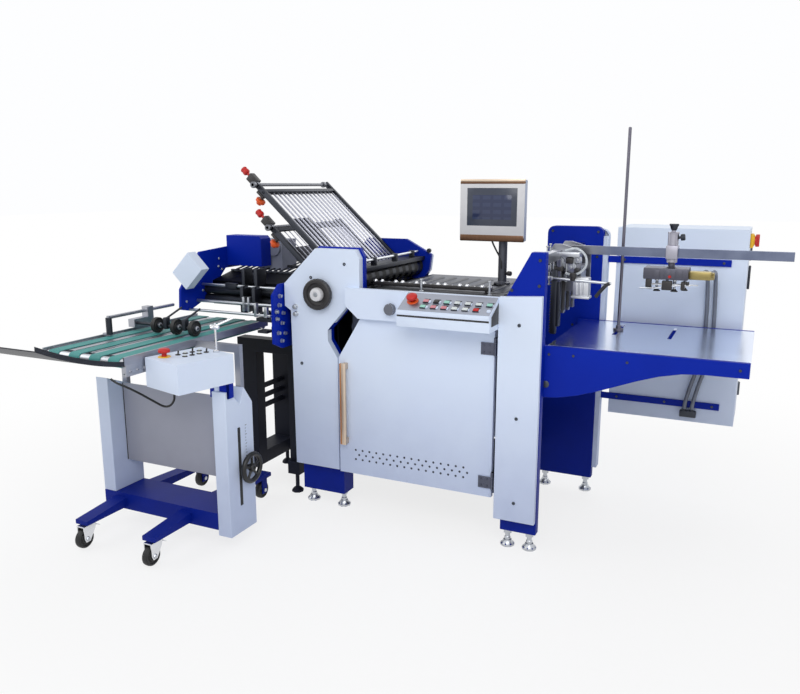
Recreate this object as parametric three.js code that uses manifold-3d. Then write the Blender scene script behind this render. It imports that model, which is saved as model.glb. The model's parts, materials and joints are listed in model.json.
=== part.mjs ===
// Industrial paper folding machine: sheet feeder, register table, buckle fold unit, cross fold unit
// and delivery conveyor on its own trolley. Millimetres, +Z up. X runs from the delivery end to the
// feeder end, Y runs from the operator's side to the back, and the floor is the plane Z = 0.
import * as THREE from 'three';
import { mergeVertices } from 'three/addons/utils/BufferGeometryUtils.js';
import Module from 'manifold-3d';

const wasm = await Module();
wasm.setup();

// Clearances that all pieces share
const seat = 0.3; // gap between faces that touch
const gap = 1; // gap round something that turns or slides
const over = 5; // how far a cutting tool runs past the face it cuts

// Machine widths, from the middle plane Y = 0 outwards
const foldInner = 295; // inner face of the fold unit's side frames
const foldPlate = 20; // thickness of those frames
const foldCoverDepth = 30; // depth of the white side covers
const postInner = 322; // inner face of the feeder's side posts
const postPlate = 36; // thickness of the posts
const postCoverDepth = 22; // depth of their white covers
const frontPost = { left: 405, right: 545, bottom: 66, shoulder: 967, top: 1128, peakLeft: 493 };
const rearPost = { left: 373, right: 612, bottom: 66, top: 1187, corner: 30 };
const frontCover = { left: 384, right: 543, bottom: 115, topLeft: 967, topRight: 976 };

// Finishes
function finish(color, roughness, metalness) {
  return new THREE.MeshStandardMaterial({ color, roughness, metalness });
}
const blue = finish(0x16389a, 0.4, 0.1);
const white = finish(0xe6e9f0, 0.45, 0.05);
const grey = finish(0x9ba1ab, 0.5, 0.2);
const steel = finish(0xb9bec6, 0.3, 0.9);
const chrome = finish(0xd6dade, 0.15, 1);
const dark = finish(0x24262b, 0.5, 0.3);
const rubber = finish(0x17181a, 0.85, 0);
const copper = finish(0xc08a5a, 0.4, 0.5);
const red = finish(0xcf2018, 0.4, 0);
const green = finish(0x2f9277, 0.7, 0);

// Shape helpers: each returns a closed BufferGeometry in machine coordinates
function block(xs, ys, zs) {
  const geometry = new THREE.BoxGeometry(xs[1] - xs[0], ys[1] - ys[0], zs[1] - zs[0]);
  return geometry.translate((xs[0] + xs[1]) / 2, (ys[0] + ys[1]) / 2, (zs[0] + zs[1]) / 2);
}

function flatShape(points) {
  return new THREE.Shape(points.map(([across, up]) => new THREE.Vector2(across, up)));
}

function extruded(points, depth) {
  return new THREE.ExtrudeGeometry(flatShape(points), { depth, bevelEnabled: false });
}

// An outline in X and Z, made solid between two values of Y
function plateAcrossY(points, ys) {
  return extruded(points, ys[1] - ys[0]).rotateX(Math.PI / 2).translate(0, ys[1], 0);
}

// An outline in Y and Z, made solid between two values of X
function plateAcrossX(points, xs) {
  const turn = new THREE.Matrix4().makeBasis(
    new THREE.Vector3(0, 1, 0),
    new THREE.Vector3(0, 0, 1),
    new THREE.Vector3(1, 0, 0),
  );
  return extruded(points, xs[1] - xs[0]).applyMatrix4(turn).translate(xs[0], 0, 0);
}

// An outline in X and Y, made solid between two values of Z
function plateAcrossZ(points, zs) {
  return extruded(points, zs[1] - zs[0]).translate(0, 0, zs[0]);
}

// Outline points given as shares of a rectangle's width and height
function outline(frame, shares) {
  return shares.map(([across, up]) => [frame.left + across * frame.width, frame.bottom + up * frame.height]);
}

// A round bar or a cone along X, Y or Z between two places
function rod(axis, centre, span, radius, sides = 16, endRadius = radius) {
  const geometry = new THREE.CylinderGeometry(endRadius, radius, span[1] - span[0], sides);
  const middle = (span[0] + span[1]) / 2;
  if (axis === 'x') {
    return geometry.rotateZ(-Math.PI / 2).translate(middle, centre[0], centre[1]);
  }
  if (axis === 'y') {
    return geometry.translate(0, middle, 0).translate(centre[0], 0, centre[1]);
  }
  return geometry.rotateX(Math.PI / 2).translate(centre[0], centre[1], middle);
}

// A turned piece: its profile is radius and distance along the axis
function turned(axis, centre, profile, sides = 24) {
  const points = profile.map(([radius, along]) => new THREE.Vector2(radius, along));
  const geometry = new THREE.LatheGeometry(points, sides);
  if (axis === 'x') {
    return geometry.rotateZ(-Math.PI / 2).translate(0, centre[0], centre[1]);
  }
  if (axis === 'y') {
    return geometry.translate(centre[0], 0, centre[1]);
  }
  return geometry.rotateX(Math.PI / 2).translate(centre[0], centre[1], 0);
}

// A bar of round section along a smooth curve
function bentBar(points, radius, sides, steps) {
  const path = new THREE.CatmullRomCurve3(points.map(([x, y, z]) => new THREE.Vector3(x, y, z)));
  const section = [];
  for (let corner = 0; corner < sides; corner += 1) {
    const angle = (2 * Math.PI * corner) / sides;
    section.push([radius * Math.cos(angle), radius * Math.sin(angle)]);
  }
  return new THREE.ExtrudeGeometry(flatShape(section), { steps, extrudePath: path, bevelEnabled: false });
}

// Booleans through manifold-3d
function toSolid(geometry) {
  const bare = geometry.clone();
  bare.deleteAttribute('normal');
  bare.deleteAttribute('uv');
  const welded = mergeVertices(bare);
  const corners = [];
  for (let first = 0; first < welded.index.count; first += 3) {
    const triangle = [0, 1, 2].map((step) => welded.index.getX(first + step));
    if (new Set(triangle).size === triangle.length) {
      corners.push(...triangle);
    }
  }
  return new wasm.Manifold(new wasm.Mesh({
    numProp: 3,
    vertProperties: new Float32Array(welded.attributes.position.array),
    triVerts: new Uint32Array(corners),
  }));
}

function toGeometry(solid) {
  const mesh = solid.getMesh();
  const geometry = new THREE.BufferGeometry();
  geometry.setAttribute('position', new THREE.BufferAttribute(new Float32Array(mesh.vertProperties), 3));
  geometry.setIndex(new THREE.BufferAttribute(new Uint32Array(mesh.triVerts), 1));
  return geometry;
}

function joined(pieces) {
  return toGeometry(pieces.map(toSolid).reduce((whole, piece) => whole.add(piece)));
}

function cut(piece, tools) {
  return toGeometry(tools.map(toSolid).reduce((whole, tool) => whole.subtract(tool), toSolid(piece)));
}

// A round hole that clears a bar of the given radius all round, whatever the facets
function boreRadius(radius, clearance, sides = 16) {
  return (radius + clearance) / Math.cos(Math.PI / sides);
}

const machine = new THREE.Group();

function addPiece(name, geometry, material) {
  const shape = geometry.attributes.normal ? toGeometry(toSolid(geometry)) : geometry;
  shape.computeVertexNormals();
  const mesh = new THREE.Mesh(shape, material);
  mesh.name = name;
  machine.add(mesh);
}

// Mirrored spans for pieces that stand on both sides of the middle plane
function sideSpan(side, inner, outer) {
  return side < 0 ? [-outer, -inner] : [inner, outer];
}

// Levelling foot: pad on the floor, screw up into the frame above
const foot = { padRadius: 27, padEdge: 9, domeHeight: 20, screwRadius: 9, domeRadius: 15 };
function levellingFoot(centre, top) {
  const profile = [
    [0, 0],
    [foot.padRadius, 0],
    [foot.padRadius, foot.padEdge],
    [foot.domeRadius, foot.domeHeight],
    [foot.screwRadius, foot.domeHeight],
    [foot.screwRadius, top],
    [0, top],
  ];
  return turned('z', centre, profile, 8);
}

// Fold unit: octagonal side frames, their covers and the rollers between them
const foldFront = { left: -553, bottom: 187, width: 352, height: 923 };
const foldFrontShares = [
  [0.432, 1], [0.949, 1], [1, 0.964], [1, 0.785], [0.841, 0.756], [0.577, 0.643], [0.577, 0.594],
  [0.702, 0.52], [0.702, 0], [0.105, 0], [0.082, 0.718], [0, 0.738], [0, 0.839],
];
const foldRear = { left: foldFront.left, bottom: foldFront.bottom, width: 381, drop: 5 };
foldRear.height = foldFront.height - foldRear.drop; // the rear frame ends a little lower
const foldRearShares = [
  [0.16, 1], [0.677, 1], [1, 0.928], [0.976, 0.851], [0.842, 0.77], [0.648, 0.66], [0.648, 0],
  [0.097, 0], [0.076, 0.723], [0, 0.744], [0, 0.93],
];
const frameRim = 6; // how far the blue frame shows round its cover
const foldFoot = { left: -500, right: -300, depth: 80, clearance: 66, inset: 24 };


const roller = { radius: 40, nip: 1, journal: 12, sides: 16 };
const nipShare = 0.83532; // height in the front frame at which a sheet enters between the first two rollers
const nipPoint = { x: -272, z: foldFront.bottom + nipShare * foldFront.height };
const plateAngle = THREE.MathUtils.degToRad(42.4); // slope of the fold plates
const alongPlate = { x: -Math.cos(plateAngle), z: Math.sin(plateAngle) };
const offPlate = { x: Math.sin(plateAngle), z: Math.cos(plateAngle) };
const rollerStep = roller.radius + roller.nip / 2;
const rollerTop = { x: nipPoint.x + rollerStep * offPlate.x, z: nipPoint.z + rollerStep * offPlate.z };
const rollerLow = { x: nipPoint.x - rollerStep * offPlate.x, z: nipPoint.z - rollerStep * offPlate.z };
const rollerLeft = { x: rollerLow.x - 2 * rollerStep, z: rollerLow.z };

const foldOuter = foldInner + foldPlate;
const foldCoverInner = foldOuter + seat;
const foldFace = foldCoverInner + foldCoverDepth;

function grown(frame, rim) {
  return {
    left: frame.left - rim,
    bottom: frame.bottom - rim,
    width: frame.width + 2 * rim,
    height: frame.height + 2 * rim,
  };
}

function foldFrame(side, frame, shares) {
  const ys = sideSpan(side, foldInner, foldOuter);
  const blockYs = sideSpan(side, foldOuter - foldFoot.depth, foldOuter);
  const footY = (side * (2 * foldOuter - foldFoot.depth)) / 2;
  const plate = plateAcrossY(outline(grown(frame, frameRim), shares), ys);
  const bores = [rollerTop, rollerLow, rollerLeft].map((place) =>
    rod('y', [place.x, place.z], [ys[0] - over, ys[1] + over], boreRadius(roller.journal, seat)));
  const feet = [foldFoot.left + foldFoot.inset, foldFoot.right - foldFoot.inset].map((x) =>
    levellingFoot([x, footY], foldFoot.clearance + over));
  const base = block([foldFoot.left, foldFoot.right], blockYs, [foldFoot.clearance, frame.bottom + frameRim]);
  return cut(joined([plate, base, ...feet]), bores);
}

addPiece('fold_frame_front', foldFrame(-1, foldFront, foldFrontShares), blue);
addPiece('fold_frame_rear', foldFrame(1, foldRear, foldRearShares), blue);

// A pan: a plate with a folded edge all round, open at the back
function pan(points, frame, ys, wall, side) {
  const middle = { x: frame.left + frame.width / 2, z: frame.bottom + frame.height / 2 };
  const shrinkX = 1 - (2 * wall) / frame.width;
  const shrinkZ = 1 - (2 * wall) / frame.height;
  const inner = points.map(([x, z]) => [
    middle.x + (x - middle.x) * shrinkX,
    middle.z + (z - middle.z) * shrinkZ,
  ]);
  const hollow = side < 0 ? [ys[0] + wall, ys[1] + over] : [ys[0] - over, ys[1] - wall];
  return cut(plateAcrossY(points, ys), [plateAcrossY(inner, hollow)]);
}

const coverWall = 4;
// White panel behind the machine bed
const rearSkirt = { right: rearPost.left - seat, bottom: 187, top: 935 };
const handwheelShaft = roller.journal;

function foldCover(side, frame, shares, extra) {
  const ys = sideSpan(side, foldCoverInner, foldFace);
  const shell = pan(outline(frame, shares), frame, ys, coverWall, side);
  const holeRadius = boreRadius(handwheelShaft, gap);
  const hole = rod('y', [rollerLeft.x, rollerLeft.z], [ys[0] - over, ys[1] + over], holeRadius);
  return cut(joined([shell, ...extra]), side < 0 ? [hole] : []);
}

const skirtSpan = sideSpan(1, foldFace - coverWall, foldFace);
const skirtPlate = block(
  [foldRear.left + foldRear.width / 2, rearSkirt.right],
  skirtSpan,
  [rearSkirt.bottom, rearSkirt.top],
);
addPiece('fold_cover_front', foldCover(-1, foldFront, foldFrontShares, []), white);
addPiece('fold_cover_rear', foldCover(1, foldRear, foldRearShares, [skirtPlate]), white);

// Fold rollers with their journals
function foldRoller(place, front, back) {
  const end = foldInner - gap;
  const profile = [
    [0, front], [roller.journal, front], [roller.journal, -end], [roller.radius, -end],
    [roller.radius, end], [roller.journal, end], [roller.journal, back], [0, back],
  ];
  return turned('y', [place.x, place.z], profile, roller.sides);
}
const handwheel = {
  radius: 64, rim: 18, depth: 24, hubRadius: 28, hubDepth: 30, web: 8, standoff: 12,
};
const handwheelBack = -(foldFace + handwheel.standoff);
addPiece('fold_roller_1', foldRoller(rollerLeft, handwheelBack + seat, foldOuter), steel);
addPiece('fold_roller_2', foldRoller(rollerTop, -foldOuter, foldOuter), steel);
addPiece('fold_roller_3', foldRoller(rollerLow, -foldOuter, foldOuter), steel);

// Handwheel that turns the rollers by hand
const wheelFront = handwheelBack - handwheel.depth;
const rimInner = handwheel.radius - handwheel.rim;
const webBack = handwheelBack - (handwheel.depth - handwheel.web) / 2;
const wheelProfile = [
  [0, handwheelBack - handwheel.hubDepth],
  [handwheel.hubRadius, handwheelBack - handwheel.hubDepth],
  [handwheel.hubRadius, webBack - handwheel.web],
  [rimInner, webBack - handwheel.web],
  [rimInner, wheelFront],
  [handwheel.radius, wheelFront],
  [handwheel.radius, handwheelBack],
  [rimInner, handwheelBack],
  [rimInner, webBack],
  [handwheel.hubRadius, webBack],
  [handwheel.hubRadius, handwheelBack],
  [0, handwheelBack],
];
addPiece('handwheel', turned('y', [rollerLeft.x, rollerLeft.z], wheelProfile, 18), dark);

// Fold plates: two layers of slats between side rails, with a gap for the sheet.
// Local axes: along the slope, towards the operator, and off the plate.
const slope = new THREE.Matrix4().makeBasis(
  new THREE.Vector3(alongPlate.x, 0, alongPlate.z),
  new THREE.Vector3(0, -1, 0),
  new THREE.Vector3(offPlate.x, 0, offPlate.z),
);
slope.setPosition(nipPoint.x, 0, nipPoint.z);

const rail = { width: 16, height: 28 };
const slat = { count: 14, width: 9, thick: 4, paperGap: 4, margin: 26 };
const crossBar = { width: 14, height: 22 };
const stopBlock = { length: 44, width: 30, height: 34 };
const plateKnob = { radius: 15, length: 30, spindle: 6, neck: 14 };
const topBar = { radius: 10, reach: 24 };
const upperPlate = { start: 72, end: 606, level: 0, grilleEnd: 560, bars: 2, layers: [-1, 1] };
const lowerPlate = { start: 112, end: 440, level: -85, grilleEnd: 414, bars: 2, layers: [1] };
const railOuter = foldInner - seat;
const railInner = railOuter - rail.width;

function foldPlateShape(plate) {
  const level = plate.level;
  const pieces = [];
  for (const side of [-1, 1]) {
    pieces.push(block(
      [plate.start, plate.end],
      sideSpan(side, railInner, railOuter),
      [level - rail.height / 2, level + rail.height / 2],
    ));
  }
  const barStep = (plate.grilleEnd - plate.start - crossBar.width) / (plate.bars - 1);
  for (let bar = 0; bar < plate.bars; bar += 1) {
    const start = plate.start + bar * barStep;
    for (const layer of plate.layers) {
      const face = layer * slat.paperGap / 2;
      const outer = layer * crossBar.height / 2;
      pieces.push(block(
        [start, start + crossBar.width],
        [-railInner - over, railInner + over],
        [level + Math.min(face, outer), level + Math.max(face, outer)],
      ));
    }
  }
  const slatSpace = (2 * (railInner - slat.margin)) / (slat.count - 1);
  for (let index = 0; index < slat.count; index += 1) {
    const middle = -(railInner - slat.margin) + index * slatSpace;
    for (const layer of plate.layers) {
      const near = layer * (slat.paperGap / 2);
      const far = layer * (slat.paperGap / 2 + slat.thick);
      pieces.push(block(
        [plate.start + crossBar.width / 2, plate.grilleEnd - crossBar.width / 2],
        [middle - slat.width / 2, middle + slat.width / 2],
        [level + Math.min(near, far), level + Math.max(near, far)],
      ));
    }
  }
  const topBarSpan = [-railOuter - topBar.reach, railInner];
  pieces.push(rod('y', [plate.end - topBar.radius, level], topBarSpan, topBar.radius, 12));
  pieces.push(block(
    [plate.end - over, plate.end + stopBlock.length],
    [railOuter - stopBlock.width, railOuter],
    [level - stopBlock.height / 2, level + stopBlock.height / 2],
  ));
  return joined(pieces).applyMatrix4(slope);
}

function plateKnobShape(plate) {
  const start = plate.end + stopBlock.length + seat;
  const middle = railOuter - stopBlock.width / 2;
  const neck = start + plateKnob.neck;
  const profile = [
    [0, start], [plateKnob.spindle, start], [plateKnob.spindle, neck], [plateKnob.radius, neck],
    [plateKnob.radius, neck + plateKnob.length], [0, neck + plateKnob.length],
  ];
  return turned('x', [middle, plate.level], profile, 16).applyMatrix4(slope);
}

addPiece('fold_plate_upper', foldPlateShape(upperPlate), steel);
addPiece('fold_plate_lower', foldPlateShape(lowerPlate), steel);
addPiece('plate_knob_upper', plateKnobShape(upperPlate), red);
addPiece('plate_knob_lower', plateKnobShape(lowerPlate), red);

// Machine bed and register table between the fold unit and the feeder; the bed holds the door's pins
const hinge = {
  x: 368, y: -352, radius: 6, barrel: 48, leaf: 52, leafThick: 4, pinHeight: 20, low: 218, high: 742,
};
const doorFace = -foldFace;
const bed = {
  left: -296, right: 380, bottom: 190, wall: 6, beamDepth: 26, beamHeight: 85, beamDrop: 20, sideReach: 318,
};
const deck = { right: 372, reach: foldOuter, plate: 6, drop: 8, legThick: 10 };
deck.level = nipPoint.z - deck.drop; // sheets leave the table just below the nip
bed.top = deck.level - bed.beamDrop;
deck.left = foldRear.left + foldRear.width + frameRim + seat;
const bedRear = foldInner - seat;
function registerBed() {
  const inside = [-bed.sideReach, bedRear];
  const rearBeam = [bedRear - bed.beamDepth, bedRear];
  const frontBeam = [-foldInner + seat, -foldInner + bed.beamDepth];
  const beamTop = [bed.top - bed.beamHeight, bed.top];
  const beamLeft = rollerLow.x + roller.radius + gap;
  const pins = [hinge.low, hinge.high].map((z) => {
    const zs = [z + hinge.barrel + seat, z + hinge.barrel + seat + hinge.pinHeight];
    return joined([
      rod('z', [hinge.x, hinge.y], zs, hinge.radius, 12),
      block([hinge.x - seat, bed.right], [hinge.y, over - bed.sideReach], zs),
    ]);
  });
  return joined([
    ...pins,
    block([bed.left, bed.right], inside, [bed.bottom, bed.bottom + bed.wall]),
    block([bed.right - bed.wall, bed.right], inside, [bed.bottom, bed.top]),
    block([beamLeft, bed.right], rearBeam, beamTop),
    block([beamLeft, bed.right], frontBeam, beamTop),
    block([beamLeft, beamLeft + bed.beamDepth], rearBeam, [bed.bottom, bed.top]),
    block([beamLeft, beamLeft + bed.beamDepth], frontBeam, [bed.bottom, bed.top]),
  ]);
}

const tableRoller = { radius: 11, count: 9, proud: 4, margin: 40, sides: 8, sideMargin: 78 };
function registerDeck() {
  const bottom = deck.level - deck.plate;
  const legs = [-1, 1].map((side) => block(
    [deck.left, deck.right],
    sideSpan(side, foldInner - bed.beamDepth, foldInner - bed.beamDepth + deck.legThick),
    [bed.top - over, bottom + over / 2],
  ));
  const rollers = [];
  const step = (deck.right - deck.left - 2 * tableRoller.margin) / (tableRoller.count - 1);
  for (let index = 0; index < tableRoller.count; index += 1) {
    const x = deck.left + tableRoller.margin + index * step;
    const z = deck.level + tableRoller.proud - tableRoller.radius;
    rollers.push(rod('y', [x, z], [-foldInner + tableRoller.sideMargin, foldInner - tableRoller.sideMargin],
      tableRoller.radius, tableRoller.sides));
  }
  const plate = block([deck.left, deck.right], [-deck.reach, deck.reach], [bottom, deck.level]);
  return joined([registerBed(), plate, ...legs, ...rollers]);
}
addPiece('register_deck', registerDeck(), steel);

// Ball rail that holds sheets against the side guide
const ballRail = {
  left: -192, right: 250, middle: -240, width: 16, height: 16, rise: 14, ball: 9, post: 7, pairs: 8,
};
ballRail.bottom = deck.level + ballRail.rise;
ballRail.pairSpace = 1.5 * ballRail.width;
function ballRailShape() {
  const top = ballRail.bottom + ballRail.height;
  const pieces = [block(
    [ballRail.left, ballRail.right],
    [ballRail.middle - ballRail.width / 2, ballRail.middle + ballRail.width / 2],
    [ballRail.bottom, top],
  )];
  const step = (ballRail.right - ballRail.left - 2 * ballRail.pairSpace) / (ballRail.pairs - 1);
  for (let pair = 0; pair < ballRail.pairs; pair += 1) {
    for (const offset of [-0.5, 0.5]) {
      const ball = new THREE.SphereGeometry(ballRail.ball, 6, 3).rotateX(Math.PI / 2);
      const x = ballRail.left + ballRail.pairSpace + pair * step + offset * ballRail.pairSpace;
      pieces.push(ball.translate(x, ballRail.middle, top));
    }
  }
  for (const x of [ballRail.left + ballRail.pairSpace, ballRail.right - ballRail.pairSpace]) {
    const span = [deck.level + seat, ballRail.bottom + over];
    pieces.push(rod('z', [x, ballRail.middle], span, ballRail.post, 6));
  }
  return joined(pieces);
}
addPiece('ball_rail', ballRailShape(), dark);

// Upper front panel with the operator's button box
const panel = {
  left: -253, right: frontCover.left - seat, bottom: 843, top: 962, depth: 26, cornerRise: 49, cornerRun: 56,
};
const panelBack = -(foldFace + seat);
const panelFront = panelBack - panel.depth;
const buttonBox = { left: 22, right: frontCover.left - seat, front: 475, lipBottom: 848, lipTop: 908 };
const button = {
  radius: 8, height: 6, rows: 2, columns: 7, pitch: 40, start: 110, rowSpace: 34, firstRow: 26,
};
const deskSlope = Math.atan2(panel.top - buttonBox.lipTop, buttonBox.front + panelFront);
const panelKnob = { x: -51, z: 891, radius: 21, depth: 20 };
const boxTop = new THREE.Matrix4().makeRotationX(deskSlope);
boxTop.setPosition(0, -buttonBox.front, buttonBox.lipTop);

function onDesk(geometry) {
  return geometry.applyMatrix4(boxTop);
}

function frontPanel() {
  const face = [
    [panel.left, panel.top], [panel.left, panel.bottom + panel.cornerRise],
    [panel.left + panel.cornerRun, panel.bottom], [panel.right, panel.bottom], [panel.right, panel.top],
  ];
  const desk = [
    [-buttonBox.front, buttonBox.lipBottom], [panelFront + over, buttonBox.lipBottom],
    [panelFront + over, panel.top], [panelFront, panel.top], [-buttonBox.front, buttonBox.lipTop],
  ];
  const knobSpan = [panelFront - panelKnob.depth, panelFront + over];
  const pieces = [
    plateAcrossY(face, [panelFront, panelBack]),
    plateAcrossX(desk, [buttonBox.left, buttonBox.right]),
    rod('y', [panelKnob.x, panelKnob.z], knobSpan, panelKnob.radius, 20),
  ];
  for (let row = 0; row < button.rows; row += 1) {
    for (let column = 0; column < button.columns; column += 1) {
      const x = buttonBox.left + button.start + column * button.pitch;
      const up = button.firstRow + row * button.rowSpace;
      pieces.push(onDesk(rod('z', [x, up], [-over, button.height], button.radius, 6)));
    }
  }
  return cut(joined(pieces), [onDesk(stopBore().translate(stop.x, stop.up, 0))]);
}

const stop = { x: 66, up: 58, neck: 9, neckHeight: 16, headRadius: 21, head: 16, root: 3, bore: 10 };
function stopButton() {
  const base = -stop.root;
  const neckTop = seat + stop.neckHeight;
  return turned('z', [0, 0], [
    [0, base], [stop.neck, base], [stop.neck, neckTop], [stop.headRadius, neckTop],
    [stop.headRadius, neckTop + stop.head / 2], [stop.neck, neckTop + stop.head], [0, neckTop + stop.head],
  ], 14);
}
// The bore that the button's neck sinks into when it is pressed
function stopBore() {
  return rod('z', [0, 0], [-stop.bore, over], boreRadius(stop.neck, seat));
}
addPiece('upper_front_panel', frontPanel(), white);
addPiece('emergency_stop', onDesk(stopButton().translate(stop.x, stop.up, 0)), red);

// Door of the machine compartment, on two lift-off hinges at its right edge
const door = {
  left: -300, right: 362, bottom: 182, top: 838, cornerRise: 166, cornerRun: 100, depth: 22, wall: 3,
};
door.width = door.right - door.left;
door.height = door.top - door.bottom;
function doorShape() {
  const face = [
    [door.left, door.bottom], [door.right, door.bottom], [door.right, door.top],
    [door.left + door.cornerRun, door.top], [door.left, door.top - door.cornerRise],
  ];
  const pieces = [pan(face, door, [doorFace, doorFace + door.depth], door.wall, -1)];
  for (const z of [hinge.low, hinge.high]) {
    pieces.push(rod('z', [hinge.x, hinge.y], [z, z + hinge.barrel], hinge.radius, 12));
    pieces.push(block(
      [hinge.x - hinge.radius - hinge.leaf, hinge.x],
      [doorFace - hinge.leafThick, doorFace + seat],
      [z, z + hinge.barrel],
    ));
  }
  return joined(pieces);
}
addPiece('door', doorShape(), white);

const handle = { x: -266, width: 22, bottom: 310, top: 656, standoff: 18, thick: 12, foot: 30 };
function doorHandle() {
  const xs = [handle.x - handle.width / 2, handle.x + handle.width / 2];
  const back = doorFace - seat;
  const front = back - handle.standoff;
  const pieces = [block(xs, [front - handle.thick, front], [handle.bottom, handle.top])];
  for (const z of [handle.bottom, handle.top - handle.foot]) {
    pieces.push(block(xs, [front - over / 2, back], [z, z + handle.foot]));
  }
  return joined(pieces);
}
addPiece('door_handle', doorHandle(), copper);

// Display on its post
const post = { x: 252, y: 70, radius: 18, flange: 34, flangeThick: 8, armZ: 1200, armHalf: 16 };
const screen = { left: 86, right: 358, bottom: 1134, top: 1382, front: 0, depth: 40, bezel: 20, recess: 3 };
const postTop = post.armZ - post.armHalf - seat;
const postBottom = deck.level + tableRoller.proud + seat;
addPiece('display_post', joined([
  rod('z', [post.x, post.y], [postBottom, postBottom + post.flangeThick], post.flange),
  rod('z', [post.x, post.y], [postBottom + post.flangeThick / 2, postTop], post.radius),
]), grey);

function displayCase() {
  const back = screen.front + screen.depth;
  const body = block([screen.left, screen.right], [screen.front, back], [screen.bottom, screen.top]);
  const arm = block(
    [post.x - post.armHalf, post.x + post.armHalf],
    [back - over, post.y + post.radius],
    [post.armZ - post.armHalf, post.armZ + post.armHalf],
  );
  const hollow = block(
    [screen.left + screen.bezel, screen.right - screen.bezel],
    [screen.front - over, screen.front + screen.recess],
    [screen.bottom + screen.bezel, screen.top - screen.bezel],
  );
  return cut(joined([body, arm]), [hollow]);
}
addPiece('display_case', displayCase(), grey);

// Feeder: two blue posts with white covers
const postOuter = postInner + postPlate;
const postCoverInner = postOuter + seat;
const postFace = postCoverInner + postCoverDepth;
const cabinetBar = { right: 1118, thick: 8, upperBottom: 1036, lowerBottom: 436, height: 28, root: 20 };
const bridge = { left: 505, right: 535, bottom: 1082, top: 1118 };

function frontFeederPost() {
  const { left, right, bottom, shoulder, top, peakLeft } = frontPost;
  const face = [[left, bottom], [right, bottom], [right, top], [peakLeft, top], [left, shoulder]];
  const middle = -(postInner + postPlate / 2);
  const feet = [frontPost.left + foot.padRadius, frontPost.right - foot.padRadius].map((x) =>
    levellingFoot([x, middle], frontPost.bottom + over));
  return joined([plateAcrossY(face, [-postOuter, -postInner]), ...feet]);
}
addPiece('feeder_post_front', frontFeederPost(), blue);

const frontCoverFace = [
  [frontCover.left, frontCover.bottom], [frontCover.right, frontCover.bottom],
  [frontCover.right, frontCover.topRight], [frontCover.left, frontCover.topLeft],
];
const frontCoverFrame = {
  left: frontCover.left,
  bottom: frontCover.bottom,
  width: frontCover.right - frontCover.left,
  height: frontCover.topRight - frontCover.bottom,
};
addPiece('feeder_cover_front',
  pan(frontCoverFace, frontCoverFrame, [-postFace, -postCoverInner], coverWall, -1), white);

function roundedTop(left, right, bottom, top, corner) {
  const shape = [[left, bottom], [right, bottom]];
  const steps = 4;
  for (let step = 0; step <= steps; step += 1) {
    const angle = (Math.PI / 2) * (step / steps);
    shape.push([right - corner + corner * Math.cos(angle), top - corner + corner * Math.sin(angle)]);
  }
  for (let step = 0; step <= steps; step += 1) {
    const angle = (Math.PI / 2) * (1 + step / steps);
    shape.push([left + corner + corner * Math.cos(angle), top - corner + corner * Math.sin(angle)]);
  }
  return shape;
}

function rearFeederPost() {
  const face = roundedTop(rearPost.left, rearPost.right, rearPost.bottom, rearPost.top, rearPost.corner);
  const middle = postInner + postPlate / 2;
  const feet = [rearPost.left + foot.padRadius, rearPost.right - foot.padRadius].map((x) =>
    levellingFoot([x, middle], rearPost.bottom + over));
  const bars = [cabinetBar.upperBottom, cabinetBar.lowerBottom].map((z) => block(
    [rearPost.right - cabinetBar.root, cabinetBar.right],
    [postOuter - cabinetBar.thick, postOuter],
    [z, z + cabinetBar.height],
  ));
  return joined([plateAcrossY(face, [postInner, postOuter]), ...feet, ...bars]);
}
addPiece('feeder_post_rear', rearFeederPost(), blue);

const rearCover = { left: 384, right: 632, bottom: 115, drop: 10, step: 8 };
const rearCoverFrame = {
  left: rearCover.left,
  bottom: rearCover.bottom,
  width: rearCover.right - rearCover.left,
  height: rearPost.top - rearCover.drop - rearCover.bottom,
};
// Its right edge folds forward beside the post, with notches for the cabinet bars
function rearFeederCover() {
  const top = rearPost.top - rearCover.drop;
  const face = roundedTop(rearCover.left, rearCover.right, rearCover.bottom, top, rearPost.corner);
  const shell = pan(face, rearCoverFrame, [postCoverInner, postFace], coverWall, 1);
  const flange = block(
    [rearPost.right + seat, rearCover.right],
    [postInner + rearCover.step, postCoverInner + over],
    [rearCover.bottom, top - rearPost.corner],
  );
  const notches = [cabinetBar.upperBottom, cabinetBar.lowerBottom].map((z) => block(
    [rearPost.right - over, rearCover.right + over],
    [postOuter - cabinetBar.thick - gap, postOuter],
    [z - gap, z + cabinetBar.height + gap],
  ));
  return cut(joined([shell, flange]), notches);
}
addPiece('feeder_cover_rear', rearFeederCover(), white);

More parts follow.
